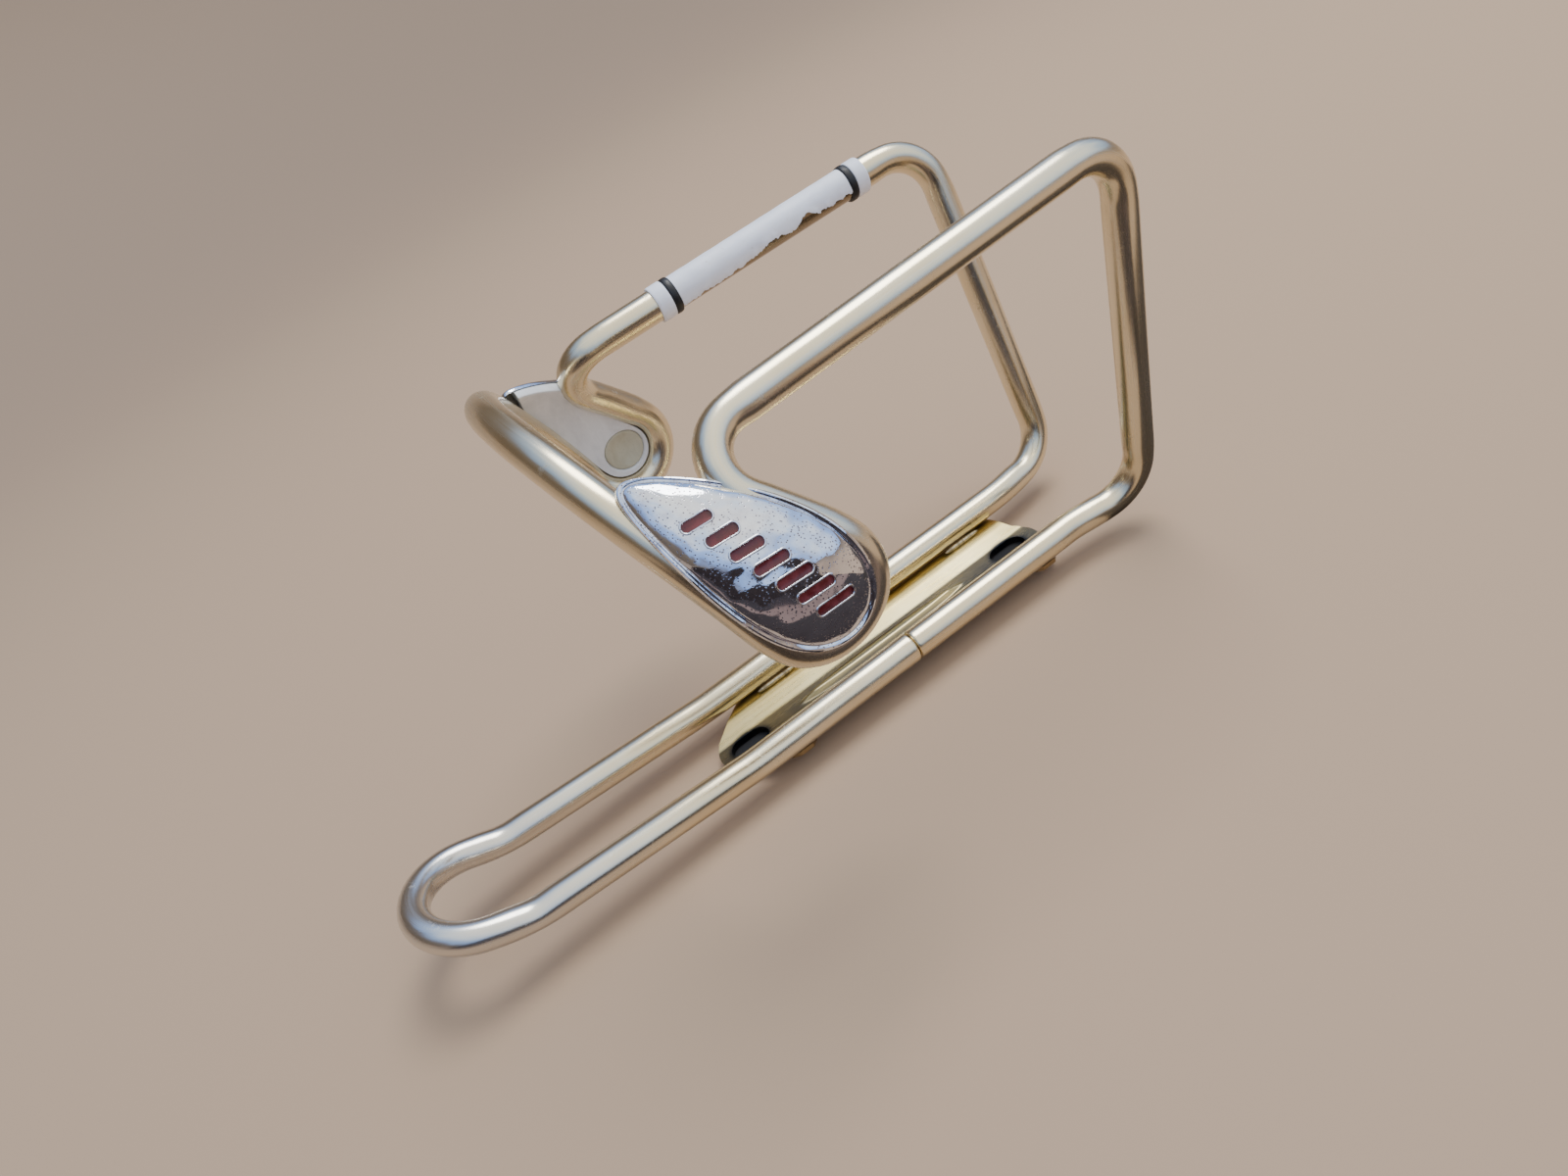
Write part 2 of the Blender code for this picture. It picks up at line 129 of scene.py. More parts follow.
# Rim profile: inset from the outline and height above the base
RIM = [(0.0, 0.0), (-0.02, 0.3), (0.06, 0.6), (0.22, 0.82),
       (0.44, 0.9), (0.66, 0.82), (0.82, 0.68), (0.95, 0.6)]
DOME_LOW = 0.6
DOME_TOP = 2.98
DOME_SIDES = 220
DOME_STEPS = 44
PAD_BASE = 39.9
PAD_TOP = 4.35
PAD_SIDES = 160
STUD_AT = (-13.9, 4.6)
STUD_R = 4.2
STUD_SIDES = 64
STUD_FACE = [(1.0, 0.5), (0.985, 0.42), (0.95, 0.38), (0.86, 0.4),
             (0.74, 0.5), (0.6, 0.66), (0.42, 0.8), (0.2, 0.88)]
SEAT_WALL = [(0.75, -1.5), (0.75, 0.06), (0.5, 0.12), (0.28, 0.26), (0.12, 0.5), (0.06, 1.2)]
PAD_STOP_X = -27.6
BAR_COUNT = 7
BAR_START = -11.7
BAR_PITCH = 3.3
BAR_LEN = 6.2
BAR_SHRINK = 0.28
BAR_W = 1.35
BAR_SLANT = 1.0
RECESS_FLOOR = 1.0
ENAMEL_SINK = 0.3
BEAD_R = 0.17

# Label on the far bar: start and end along X
LABEL_SPANS = {
    "collar_inner": (2.7, 5.55),
    "band_inner": (5.6, 7.1),
    "wrap": (7.15, 46.35),
    "band_outer": (46.4, 47.9),
    "collar_outer": (47.95, 50.6),
}
PAPER_SKIN = (0.05, 0.26)
PAPER_TURN = (-2.75, 2.2)
BRAZE_X = (-16.0, 34.0)
BRAZE_LEN = 9.0
BRAZE_R = 0.55
BRAZE_AT = (8.9, -2.72)

# Camera: place in the CAD's layout, and its right, up and back directions
CAMERA_AT = (-45.918, -148.956, 120.474)
CAMERA_AXES = ((0.79482, -0.46510, -0.38979), (0.57033, 0.35309, 0.74166), (-0.20731, -0.81180, 0.54590))
CAMERA_LENS = 22.64

# Stage, in metres: flat floor, backdrop it rises into, and the sky's bright side
FLOOR_R = 0.9
BACKDROP_R = 2.4
BACKDROP_H = 0.7
WALL_H = 3.2
FLOOR_GAP = 0.0011
# Cards seen only in reflections, painted reflections of the shaded floor and surroundings in front of the
# cage: colour, x range, and the (y, z) folds
FLAGS = {
    "flag_near": ((0.03, 0.019, 0.017), (-0.5, 0.07), [(-0.06, 0.0), (-0.13, 0.0)]),
    "flag_brown": ((0.24, 0.15, 0.12), (-0.5, 0.07), [(-0.13, 0.0), (-0.16, 0.0)]),
    "flag_arm": ((0.04, 0.027, 0.02), (0.05, 0.3), [(-0.004, 0.0), (-0.085, 0.0)]),
    "flag_far": ((0.03, 0.019, 0.019), (-0.5, 0.07), [(-0.16, 0.0), (-0.26, 0.0), (-0.3, 0.08)]),
}
KEY_AT = (0.36, 0.14, 0.88)
KEY_SIZE = (0.55, 0.5)
KEY_POWER = 6.5
SKY_AXIS = (0.34, -0.46, 0.9)
SKY_STRENGTH = 1.4
SKY_BREAKUP = 0.56
SKY_STOPS = [(0.0, (0.12, 0.095, 0.075)), (0.26, (0.15, 0.125, 0.105)), (0.40, (0.25, 0.38, 0.70)),
             (0.60, (0.37, 0.53, 0.86)), (0.80, (0.80, 0.88, 0.98)), (1.0, (1.0, 0.99, 0.95))]


# ---------------------------------------------------------------- layout helpers

def world(point):
    """Layout millimetres to metres in the row frame."""
    return Vector((point[0] + SHIFT, point[1], point[2] + LIFT)) * MM


def on_bay(x, arc, radius):
    """Near side layout point at radius from the bottle axis, arc measured up from the widest height."""
    turn = arc / BAY_R
    return Vector((x, -radius * cos(turn), BAY_Z + radius * sin(turn)))


def drop(arc):
    """How far the arch and the badges sink below the bottle's cylinder at this arc."""
    share = (arc - DROP_FROM) / (BAY_R * pi / 2 - DROP_FROM)
    return ARCH_DROP * (1 - cos(pi * max(0.0, share))) / 2


def smooth(t):
    """Ease from 0 to 1."""
    t = min(1.0, max(0.0, t))
    return t * t * (3 - 2 * t)


def fillet(corners, radii):
    """Open polyline through 3-D corners, each inner corner rounded to its radius."""
    points = [Vector(corners[0])]
    for i in range(1, len(corners) - 1):
        here = Vector(corners[i])
        back = (Vector(corners[i - 1]) - here).normalized()
        ahead = (Vector(corners[i + 1]) - here).normalized()
        angle = back.angle(ahead)
        reach = radii[i - 1] / tan(angle / 2)
        centre = here + (back + ahead).normalized() * radii[i - 1] / sin(angle / 2)
        first = here + back * reach - centre
        last = here + ahead * reach - centre
        sweep = pi - angle
        steps = 24
        for k in range(steps + 1):
            t = sweep * k / steps
            points.append(centre + (first * sin(sweep - t) + last * sin(t)) / sin(sweep))
    points.append(Vector(corners[-1]))
    return points


def arc_points(centre, radius, start, end, steps):
    """Points on an arc for a path that turns right, given its headings."""
    out = []
    for k in range(steps + 1):
        heading = start + (end - start) * k / steps
        out.append((centre[0] - radius * sin(heading), centre[1] + radius * cos(heading)))
    return out


def loop_path():
    """Centre line of the near side loop, from the hairpin round the nose to the arch's crown."""
    to_nose = (NOSE[0] - HAIRPIN[0], NOSE[1] - HAIRPIN[1])
    down = atan2(to_nose[1], to_nose[0]) + asin(NOSE_R / hypot(*to_nose))
    reach = HAIRPIN_R * tan((down + pi) / 2)
    bend = (HAIRPIN[0] + reach, HAIRPIN[1] - HAIRPIN_R)
    arch = (ARCH_X + ARCH_R, BAY_R * pi / 2)
    to_arch = (arch[0] - NOSE[0], arch[1] - NOSE[1])
    up = atan2(to_arch[1], to_arch[0]) + asin((ARCH_R - NOSE_R) / hypot(*to_arch))
    flat = [(x, s, HAIRPIN_RISE) for x, s in arc_points(bend, -HAIRPIN_R, pi, 2 * pi + down, 24)]
    flat += [(x, s, 0.0) for x, s in arc_points(NOSE, NOSE_R, down, up - 2 * pi, 40)]
    flat += [(x, s, -1.0) for x, s in arc_points(arch, ARCH_R, up, pi / 2, 40)]
    wire = [on_bay(flat[0][0], flat[0][1], BAY_R + flat[0][2])]
    for a, b in zip(flat, flat[1:]):
        count = max(1, round(hypot(b[0] - a[0], b[1] - a[1])))
        for k in range(1, count + 1):
            x, arc, rise = (p + (q - p) * k / count for p, q in zip(a, b))
            wire.append(on_bay(x, arc, BAY_R + (-drop(arc) if b[2] < 0 else rise)))
    return wire


def tube_route():
    """The whole tube's centre line from the seam round to the seam."""
    loop = loop_path()
    start = (SEAM_X + SEAM_GAP / 2, -RAIL_Y, 0.0)
    side = fillet([start, FLARE, ARM_FOOT, ARM_TOP, loop[0]], [25.0, 9.0, 9.5]) + loop[1:]
    far = [Vector((p.x, -p.y, p.z)) for p in reversed(side[:-1])]
    slope = Vector((-cos(TONGUE_ANGLE), 0.0, sin(TONGUE_ANGLE)))
    high = Vector((KINK_HIGH[0], 0.0, KINK_HIGH[1]))
    bow = []
    for k in range(25):
        t = pi / 2 * k / 24
        run = TONGUE_LEN - RAIL_Y + RAIL_Y * cos(t)
        bow.append(high + slope * run + Vector((0.0, RAIL_Y * sin(t), 0.0)))
    corners = [bow[-1], (KINK_HIGH[0], RAIL_Y, KINK_HIGH[1]), (KINK_LOW[0], RAIL_Y, KINK_LOW[1]),
               (SEAM_X - SEAM_GAP / 2, RAIL_Y, 0.0)]
    tongue = bow[:-1] + fillet(corners, [14.0, 80.0])
    near = [Vector((p.x, -p.y, p.z)) for p in tongue]
    return side + far[:-1] + tongue[:0:-1] + near


def resample(points, step):
    """The same route with points evenly spaced, its joins between arcs eased."""
    lengths = [0.0]
    for a, b in zip(points, points[1:]):
        lengths.append(lengths[-1] + (b - a).length)
    count = round(lengths[-1] / step)
    out = []
    i = 0
    for k in range(count + 1):
        target = lengths[-1] * k / count
        while i < len(points) - 2 and lengths[i + 1] < target:
            i += 1
        span = lengths[i + 1] - lengths[i]
        out.append(points[i].lerp(points[i + 1], (target - lengths[i]) / span if span > 0 else 0.0))
    for _ in range(3):
        out = [out[0]] + [(a + b * 2 + c) / 4 for a, b, c in zip(out, out[1:], out[2:])] + [out[-1]]
    return out


# ---------------------------------------------------------------- mesh helpers

def tidy_mesh(bm):
    """Merge slivers, and drop the flaps of two faces back to back that merging leaves."""
    bmesh.ops.remove_doubles(bm, verts=bm.verts, dist=MERGE)
    bmesh.ops.dissolve_degenerate(bm, dist=MERGE, edges=bm.edges)
    bmesh.ops.triangulate(bm, faces=bm.faces)
    bm.verts.index_update()
    alike = {}
    for face in bm.faces:
        alike.setdefault(frozenset(vert.index for vert in face.verts), []).append(face)
    flaps = [face for group in alike.values() if len(group) > 1 for face in group]
    bmesh.ops.delete(bm, geom=flaps, context="FACES")


def new_object(name, bm, material, nodes, sharp=0.6):
    """Finished piece from a bmesh: smooth shaded, riding on the cage, standing for its CAD nodes."""
    tidy_mesh(bm)
    mesh = bpy.data.meshes.new(name)
    bmesh.ops.recalc_face_normals(bm, faces=bm.faces)
    bm.to_mesh(mesh)
    bm.free()
    for face in mesh.polygons:
        face.use_smooth = True
    mesh.set_sharp_from_angle(angle=sharp)
    obj = bpy.data.objects.new(name, mesh)
    bpy.context.scene.collection.objects.link(obj)
    mesh.materials.append(material)
    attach(obj, BODY)
    if nodes:
        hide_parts(*nodes)


def temp_object(name, bm):
    """Scratch object for a Boolean."""
    mesh = bpy.data.meshes.new(name)
    bmesh.ops.recalc_face_normals(bm, faces=bm.faces)
    bm.to_mesh(mesh)
    bm.free()
    obj = bpy.data.objects.new(name, mesh)
    bpy.context.scene.collection.objects.link(obj)
    return obj


def apply_modifiers(obj):
    """bmesh of the evaluated object; the object is removed."""
    bpy.context.view_layer.update()
    graph = bpy.context.evaluated_depsgraph_get()
    mesh = bpy.data.meshes.new_from_object(obj.evaluated_get(graph), depsgraph=graph)
    bm = bmesh.new()
    bm.from_mesh(mesh)
    bpy.data.objects.remove(obj, do_unlink=True)
    bpy.data.meshes.remove(mesh)
    return bm


def cut(bm, tool_bm, operation="DIFFERENCE"):
    """Exact Boolean of two bmeshes."""
    obj = temp_object("cut_body", bm)
    tool = temp_object("cut_tool", tool_bm)
    mod = obj.modifiers.new("cut", "BOOLEAN")
    mod.operation = operation
    mod.solver = "EXACT"
    mod.object = tool
    out = apply_modifiers(obj)
    bpy.data.objects.remove(tool, do_unlink=True)
    return out


def sweep(points, radius, sides=TUBE_SIDES, closed=False, flatten=0.0):
    """Round section carried along a route without twist. radius is a number or a function of the index.

    The UV map "route" holds metres along the route and turns around it."""
    bm = bmesh.new()
    layer = bm.loops.layers.uv.new("route")
    count = len(points)
    rings = []
    travelled = [0.0]
    for a, b in zip(points, points[1:]):
        travelled.append(travelled[-1] + (b - a).length)
    normal = None
    for i, point in enumerate(points):
        before = points[(i - 1) % count] if closed else points[max(0, i - 1)]
        after = points[(i + 1) % count] if closed else points[min(count - 1, i + 1)]
        tangent = (after - before).normalized()
        if normal is None:
            normal = tangent.orthogonal().normalized()
            if abs(tangent.z) < 0.9:
                normal = (Vector((0, 0, 1)) - tangent * tangent.z).normalized()
        normal = (normal - tangent * normal.dot(tangent)).normalized()
        side = tangent.cross(normal)
        bend = after + before - point * 2
        reach = max(1e-9, ((after - before).length / 2) ** 2)
        curve = bend / reach
        size = radius(i) if callable(radius) else radius
        squash = min(0.06, flatten * curve.length * size)
        toward = curve.normalized() if curve.length > 1e-6 else normal
        ring = []
        for k in range(sides):
            turn = 2 * pi * k / sides
            spoke = normal * cos(turn) + side * sin(turn)
            spoke = spoke - toward * spoke.dot(toward) * squash
            ring.append(bm.verts.new(world(point + spoke * size)))
        rings.append(ring)
    pairs = list(zip(range(count - 1), range(1, count)))
    if closed:
        pairs.append((count - 1, 0))
    for i, j in pairs:
        along = (travelled[i] * MM, (travelled[j] if j else travelled[-1] + 1.0) * MM)
        for k in range(sides):
            m = (k + 1) % sides
            face = bm.faces.new((rings[i][k], rings[i][m], rings[j][m], rings[j][k]))
            around = (k / sides, (k + 1) / sides)
            for loop, uv in zip(face.loops, ((along[0], around[0]), (along[0], around[1]),
                                             (along[1], around[1]), (along[1], around[0]))):
                loop[layer].uv = uv
    if not closed:
        bm.faces.new(rings[0][::-1])
        bm.faces.new(rings[-1])
    return bm


def loft(rings, bm=None, close_start=True, close_end=True):
    """Skin over closed rings of points in layout millimetres; a ring of one point is a pole."""
    bm = bm or bmesh.new()
    made = [[bm.verts.new(world(p)) for p in ring] for ring in rings]
    for a, b in zip(made, made[1:]):
        if len(a) == 1 or len(b) == 1:
            pole, ring = (a[0], b) if len(a) == 1 else (b[0], a)
            for k in range(len(ring)):
                bm.faces.new((pole, ring[k], ring[(k + 1) % len(ring)]))
            continue
        for k in range(len(a)):
            m = (k + 1) % len(a)
            bm.faces.new((a[k], a[m], b[m], b[k]))
    if close_start and len(made[0]) > 1:
        bm.faces.new(made[0])
    if close_end and len(made[-1]) > 1:
        bm.faces.new(made[-1])
    return bm


def capsule(centre, length, width, angle, steps=10):
    """Outline of a bar with round ends, its long side turned by angle."""
    out = []
    for sign in (1, -1):
        for k in range(steps + 1):
            t = -pi / 2 + pi * k / steps
            u = sign * ((length - width) / 2 + width / 2 * cos(t))
            v = sign * width / 2 * sin(t)
            out.append((centre[0] + u * cos(angle) - v * sin(angle),
                        centre[1] + u * sin(angle) + v * cos(angle)))
    return out


def mirrored(bm):
    """Copy of a bmesh on the other side of the XZ plane."""
    other = bm.copy()
    for vert in other.verts:
        vert.co.y = -vert.co.y
    bmesh.ops.reverse_faces(other, faces=other.faces)
    return other


# ---------------------------------------------------------------- materials

class Surface:
    """Small helper around one Principled material's nodes."""

    def __init__(self, name, colour, metallic=0.0, roughness=0.5):
        self.mat = bpy.data.materials.new(name)
        self.mat.use_nodes = True
        self.tree = self.mat.node_tree
        self.shader = self.tree.nodes["Principled BSDF"]
        self.shader.inputs["Base Color"].default_value = (*colour, 1.0)
        self.shader.inputs["Metallic"].default_value = metallic
        self.shader.inputs["Roughness"].default_value = roughness

    def node(self, kind, **values):
        """New node; keyword values go to its properties."""
        made = self.tree.nodes.new(kind)
        for key, value in values.items():
            setattr(made, key, value)
        return made

    def link(self, source, target):
        """Connect two sockets."""
        self.tree.links.new(source, target)

    def coordinates(self, scale, uv=None):
        """Object or UV coordinates times a scale."""
        if uv:
            source = self.node("ShaderNodeUVMap", uv_map=uv).outputs["UV"]
        else:
            source = self.node("ShaderNodeTexCoord").outputs["Object"]
        mapping = self.node("ShaderNodeMapping")
        mapping.inputs["Scale"].default_value = scale
        self.link(source, mapping.inputs["Vector"])
        return mapping.outputs["Vector"]

    def noise(self, vector, scale=1.0, detail=3.0, rough=0.5):
        """Noise value at a vector."""
        tex = self.node("ShaderNodeTexNoise")
        tex.inputs["Scale"].default_value = scale
        tex.inputs["Detail"].default_value = detail
        tex.inputs["Roughness"].default_value = rough
        self.link(vector, tex.inputs["Vector"])
        return tex.outputs["Fac"]

    def remap(self, value, low, high, out_low, out_high):
        """Map a value's range, eased at both ends."""
        made = self.node("ShaderNodeMapRange", interpolation_type="SMOOTHSTEP")
        for key, number in zip(("From Min", "From Max", "To Min", "To Max"), (low, high, out_low, out_high)):
            made.inputs[key].default_value = number
        self.link(value, made.inputs["Value"])
        return made.outputs["Result"]

    def math(self, operation, a, b):
        """Math node of a socket and a socket or number."""
        made = self.node("ShaderNodeMath", operation=operation)
        self.link(a, made.inputs[0])
        if isinstance(b, (int, float)):
            made.inputs[1].default_value = b
        else:
            self.link(b, made.inputs[1])
        return made.outputs["Value"]

    def mix(self, factor, a, b):
        """Colour mix; a and b are sockets or colours."""
        made = self.node("ShaderNodeMix", data_type="RGBA")
        self.link(factor, made.inputs["Factor"])
        for socket, value in ((made.inputs[6], a), (made.inputs[7], b)):
            if isinstance(value, tuple):
                socket.default_value = (*value, 1.0)
            else:
                self.link(value, socket)
        return made.outputs[2]

    def colour(self, socket):
        """Use a socket as base colour."""
        self.link(socket, self.shader.inputs["Base Color"])

    def roughness(self, socket):
        """Use a socket as roughness."""
        self.link(socket, self.shader.inputs["Roughness"])

    def bump(self, height, distance, strength=1.0):
        """Bump from a height socket, distance in metres, on top of any bump already there."""
        made = self.node("ShaderNodeBump")
        made.inputs["Distance"].default_value = distance
        made.inputs["Strength"].default_value = strength
        self.link(height, made.inputs["Height"])
        if self.shader.inputs["Normal"].links:
            self.link(self.shader.inputs["Normal"].links[0].from_socket, made.inputs["Normal"])
        self.link(made.outputs["Normal"], self.shader.inputs["Normal"])


def anodised(name, uv):
    """Champagne anodised aluminium with drawing lines, blotches and nicks.

    It turns a cool silver towards the tongue, and is darkened by painted shade where the tube carries the
    label."""
    s = Surface(name, (0.78, 0.72, 0.58), 1.0, 0.24)
    space = s.coordinates((1.0, 1.0, 1.0))
    lines = s.noise(s.coordinates((30.0, 34.0, 1.0), uv) if uv else s.coordinates((60.0, 1500.0, 1500.0)),
                    1.0, 3.0, 0.6)
    blotch = s.noise(space, 48.0, 3.0)
    grain = s.noise(space, 3000.0, 2.0)
    nick = s.noise(space, 330.0, 5.0, 0.68)
    tint = s.mix(s.remap(blotch, 0.35, 0.65, 0.0, 1.0), (0.84, 0.76, 0.57), (0.80, 0.69, 0.47))
    tint = s.mix(s.remap(lines, 0.45, 0.75, 0.0, 0.25), tint, (0.86, 0.84, 0.76))
    axes = s.node("ShaderNodeSeparateXYZ")
    s.link(space, axes.inputs["Vector"])
    # Cooler and greyer towards the tongue.
    tongue_silver = s.remap(axes.outputs["X"], -0.092, -0.045, 0.6, 0.0)
    tint = s.mix(tongue_silver, tint, (0.64, 0.66, 0.71))
    if uv:
        # Painted shade: dark brown on the far upper bar along the label's span, where the torn label bares
        # the tube.
        label_shade = s.math("MULTIPLY", s.remap(axes.outputs["Y"], 0.012, 0.014, 0.0, 0.75),
                       s.remap(axes.outputs["Z"], 0.066, 0.068, 0.0, 1.0))
        first, last = ((x + SHIFT) * MM for x in LABEL_SPANS["wrap"])
        begun = s.remap(axes.outputs["X"], first - 0.0002, first + 0.0005, 0.0, 1.0)
        ended = s.remap(axes.outputs["X"], last, last + 0.0006, 1.0, 0.0)
        label_shade = s.math("MULTIPLY", label_shade, s.math("MULTIPLY", begun, ended))
        tint = s.mix(label_shade, tint, (0.13, 0.09, 0.06))
    tint = s.mix(s.remap(nick, 0.69, 0.74, 0.0, 0.55), tint, (0.40, 0.33, 0.25))
    s.colour(tint)
    rough = s.math("ADD", s.remap(lines, 0.3, 0.7, 0.205, 0.285), s.remap(nick, 0.6, 0.74, 0.0, 0.16))
    s.roughness(rough)
    s.bump(s.noise(space, 70.0, 1.0), 0.00022, 1.0)
    dents = s.remap(nick, 0.66, 0.74, 0.0, 1.0)
    s.bump(s.math("SUBTRACT", s.math("MULTIPLY", grain, 0.35), dents), 0.00002, 0.35)
    return s.mat


def plate_metal():
    """Straw anodised sheet: a soft rolled grain, specks, dark rings round the bolt slots, painted shade on
    the channel floor with a painted lighter crest on the rib, and painted shade along the wings' outer edges
    under the rails.
    """
    s = Surface("plate_metal", (0.76, 0.69, 0.47), 1.0, 0.4)
    space = s.coordinates((1.0, 1.0, 1.0))
    grain = s.noise(s.coordinates((40.0, 1400.0, 1400.0)), 1.0, 4.0, 0.6)
    blotch = s.noise(space, 90.0, 4.0)
    speck = s.noise(space, 900.0, 4.0, 0.7)
    tint = s.mix(s.remap(blotch, 0.35, 0.65, 0.0, 1.0), (0.71, 0.59, 0.29), (0.63, 0.50, 0.22))
    tint = s.mix(s.remap(grain, 0.4, 0.7, 0.0, 0.18), tint, (0.80, 0.72, 0.48))
    tint = s.mix(s.remap(speck, 0.66, 0.74, 0.0, 0.5), tint, (0.30, 0.25, 0.18))
    axes = s.node("ShaderNodeSeparateXYZ")
    s.link(space, axes.inputs["Vector"])
    off_centre = s.node("ShaderNodeMath", operation="ABSOLUTE")
    s.link(axes.outputs["Y"], off_centre.inputs[0])
    # Painted shade: the channel floor between the flanks is darkened, less so on the rib's crest, which reads
    # lighter as painted light.
    channel = s.remap(off_centre.outputs["Value"], (FLOOR_HALF - 0.3) * MM, (FLOOR_HALF + 0.2) * MM, 1.0, 0.0)
    crest = s.math("MULTIPLY", s.remap(off_centre.outputs["Value"], 0.5 * MM, 1.5 * MM, 1.0, 0.0),
                   s.remap(axes.outputs["X"], (RIB_X[0] + SHIFT) * MM, (RIB_X[0] + SHIFT + 4) * MM, 0.0, 1.0))
    crest = s.math("MULTIPLY", crest,
                   s.remap(axes.outputs["X"], (RIB_X[1] + SHIFT - 4) * MM, (RIB_X[1] + SHIFT) * MM, 1.0, 0.0))
    channel_shade = s.math("MULTIPLY", channel, s.remap(blotch, 0.3, 0.7, 1.0, 0.8))
    channel_shade = s.math("MULTIPLY", channel_shade, s.remap(crest, 0.0, 1.0, 1.0, 0.5))
    tint = s.mix(channel_shade, tint, (0.11, 0.10, 0.085))
    # Painted shade: the wings' outer edges, under the rails' overhang, are darkened brown.
    wing_shade = s.remap(off_centre.outputs["Value"], (PLATE_HALF - 3.2) * MM, (PLATE_HALF - 1.6) * MM, 0.0, 0.85)
    tint = s.mix(wing_shade, tint, (0.26, 0.19, 0.12))
    # Dark rings round the bolt slots, broken up by the specks.
    slot_ring = None
    for x in SLOT_X:
        away = s.node("ShaderNodeVectorMath", operation="SUBTRACT")
        away.inputs[1].default_value = world((x, 0.0, PLATE_FLOOR))
        s.link(space, away.inputs[0])
        squeeze = s.node("ShaderNodeVectorMath", operation="MULTIPLY")
        squeeze.inputs[1].default_value = (0.72, 1.0, 1.0)
        s.link(away.outputs["Vector"], squeeze.inputs[0])
        reach = s.node("ShaderNodeVectorMath", operation="LENGTH")
        s.link(squeeze.outputs["Vector"], reach.inputs[0])
        spot = s.remap(reach.outputs["Value"], SLOT_RING_R * MM * 0.8, SLOT_RING_R * MM * 1.15, 1.0, 0.0)
        slot_ring = spot if slot_ring is None else s.math("MAXIMUM", slot_ring, spot)
    slot_dark = s.math("MULTIPLY", slot_ring, s.remap(speck, 0.58, 0.7, 1.0, 0.6))
    s.colour(s.mix(slot_dark, tint, (0.022, 0.027, 0.038)))
    rough = s.math("ADD", s.remap(grain, 0.3, 0.7, 0.26, 0.32), s.remap(speck, 0.6, 0.7, 0.0, 0.15))
    s.roughness(rough)
    s.bump(grain, 0.00002, 0.2)
    return s.mat


def chrome():
    """Bright chrome plate with scattered pits, a dull bloom and hairline scratches."""
    s = Surface("chrome_plate", (0.86, 0.87, 0.89), 1.0, 0.06)
    space = s.coordinates((1.0, 1.0, 1.0))
    cells = s.node("ShaderNodeTexVoronoi")
    cells.inputs["Scale"].default_value = 2300.0
    s.link(space, cells.inputs["Vector"])
    lot = s.node("ShaderNodeSeparateColor")
    s.link(cells.outputs["Color"], lot.inputs["Color"])
    patch = s.noise(space, 150.0, 3.0)
    crowd = s.math("ADD", lot.outputs["Red"], s.remap(patch, 0.36, 0.60, -0.2, 0.85))
    pit = s.math("MULTIPLY", s.remap(cells.outputs["Distance"], 0.12, 0.34, 1.0, 0.0),
                 s.remap(crowd, 0.22, 0.32, 0.0, 1.0))
    bloom = s.noise(space, 420.0, 5.0, 0.65)
    scratch = s.noise(s.coordinates((330.0, 330.0, 7000.0)), 1.0, 2.0)
    s.colour(s.mix(pit, s.mix(s.remap(bloom, 0.4, 0.7, 0.0, 1.0), (0.86, 0.89, 0.95), (0.72, 0.72, 0.78)),
                   (0.20, 0.15, 0.17)))
    s.roughness(s.math("ADD", s.math("MULTIPLY", pit, 0.5), s.remap(bloom, 0.45, 0.75, 0.045, 0.16)))
    s.bump(s.noise(space, 95.0, 2.0), 0.0013, 1.0)
    s.bump(s.math("SUBTRACT", s.math("MULTIPLY", scratch, 0.12), pit), 0.00003, 0.4)
    return s.mat


def enamel():
    """Dark red enamel infill with dusty low spots."""
    s = Surface("red_infill", (0.13, 0.010, 0.014), 0.0, 0.34)
    blotch = s.noise(s.coordinates((1.0, 1.0, 1.0)), 700.0, 3.0)
    s.colour(s.mix(s.remap(blotch, 0.4, 0.65, 0.0, 1.0), (0.12, 0.008, 0.012), (0.19, 0.022, 0.028)))
    s.roughness(s.remap(blotch, 0.3, 0.7, 0.25, 0.5))
    s.bump(blotch, 0.00004, 0.4)
    s.shader.inputs["Coat Weight"].default_value = 0.3
    return s.mat


def grey_moulding(name, colour, shade):
    """Smooth moulded plastic, faintly scuffed."""
    s = Surface(name, colour, 0.0, 0.3)
    space = s.coordinates((1.0, 1.0, 1.0))
    scuff = s.noise(s.coordinates((260.0, 260.0, 110.0)), 1.0, 5.0, 0.65)
    fine = s.noise(space, 3200.0, 2.0)
    s.colour(s.mix(s.remap(scuff, 0.4, 0.7, 0.0, 1.0), colour, shade))
    s.roughness(s.remap(scuff, 0.3, 0.7, 0.24, 0.42))
    s.bump(s.math("ADD", fine, s.math("MULTIPLY", scuff, 0.5)), 0.00002, 0.5)
    return s.mat


def paper():
    """White label stock with a cool cast, faint fibres, creases and a dirty edge."""
    s = Surface("label_paper", (0.86, 0.89, 0.96), 0.0, 0.5)
    space = s.coordinates((1.0, 1.0, 1.0))
    fibre = s.noise(space, 2400.0, 5.0, 0.7)
    crease = s.noise(s.coordinates((120.0, 420.0, 420.0)), 1.0, 4.0, 0.6)
    dirt = s.noise(space, 420.0, 6.0, 0.7)
    tint = s.mix(s.remap(crease, 0.35, 0.7, 0.0, 1.0), (0.92, 0.94, 1.0), (0.85, 0.88, 0.97))
    tint = s.mix(s.remap(dirt, 0.62, 0.74, 0.0, 0.5), tint, (0.46, 0.40, 0.34))
    s.colour(tint)
    s.roughness(s.remap(fibre, 0.3, 0.7, 0.38, 0.6))
    s.bump(s.math("ADD", s.math("MULTIPLY", fibre, 0.3), crease), 0.00008, 0.5)
    s.shader.inputs["Sheen Weight"].default_value = 0.1
    return s.mat


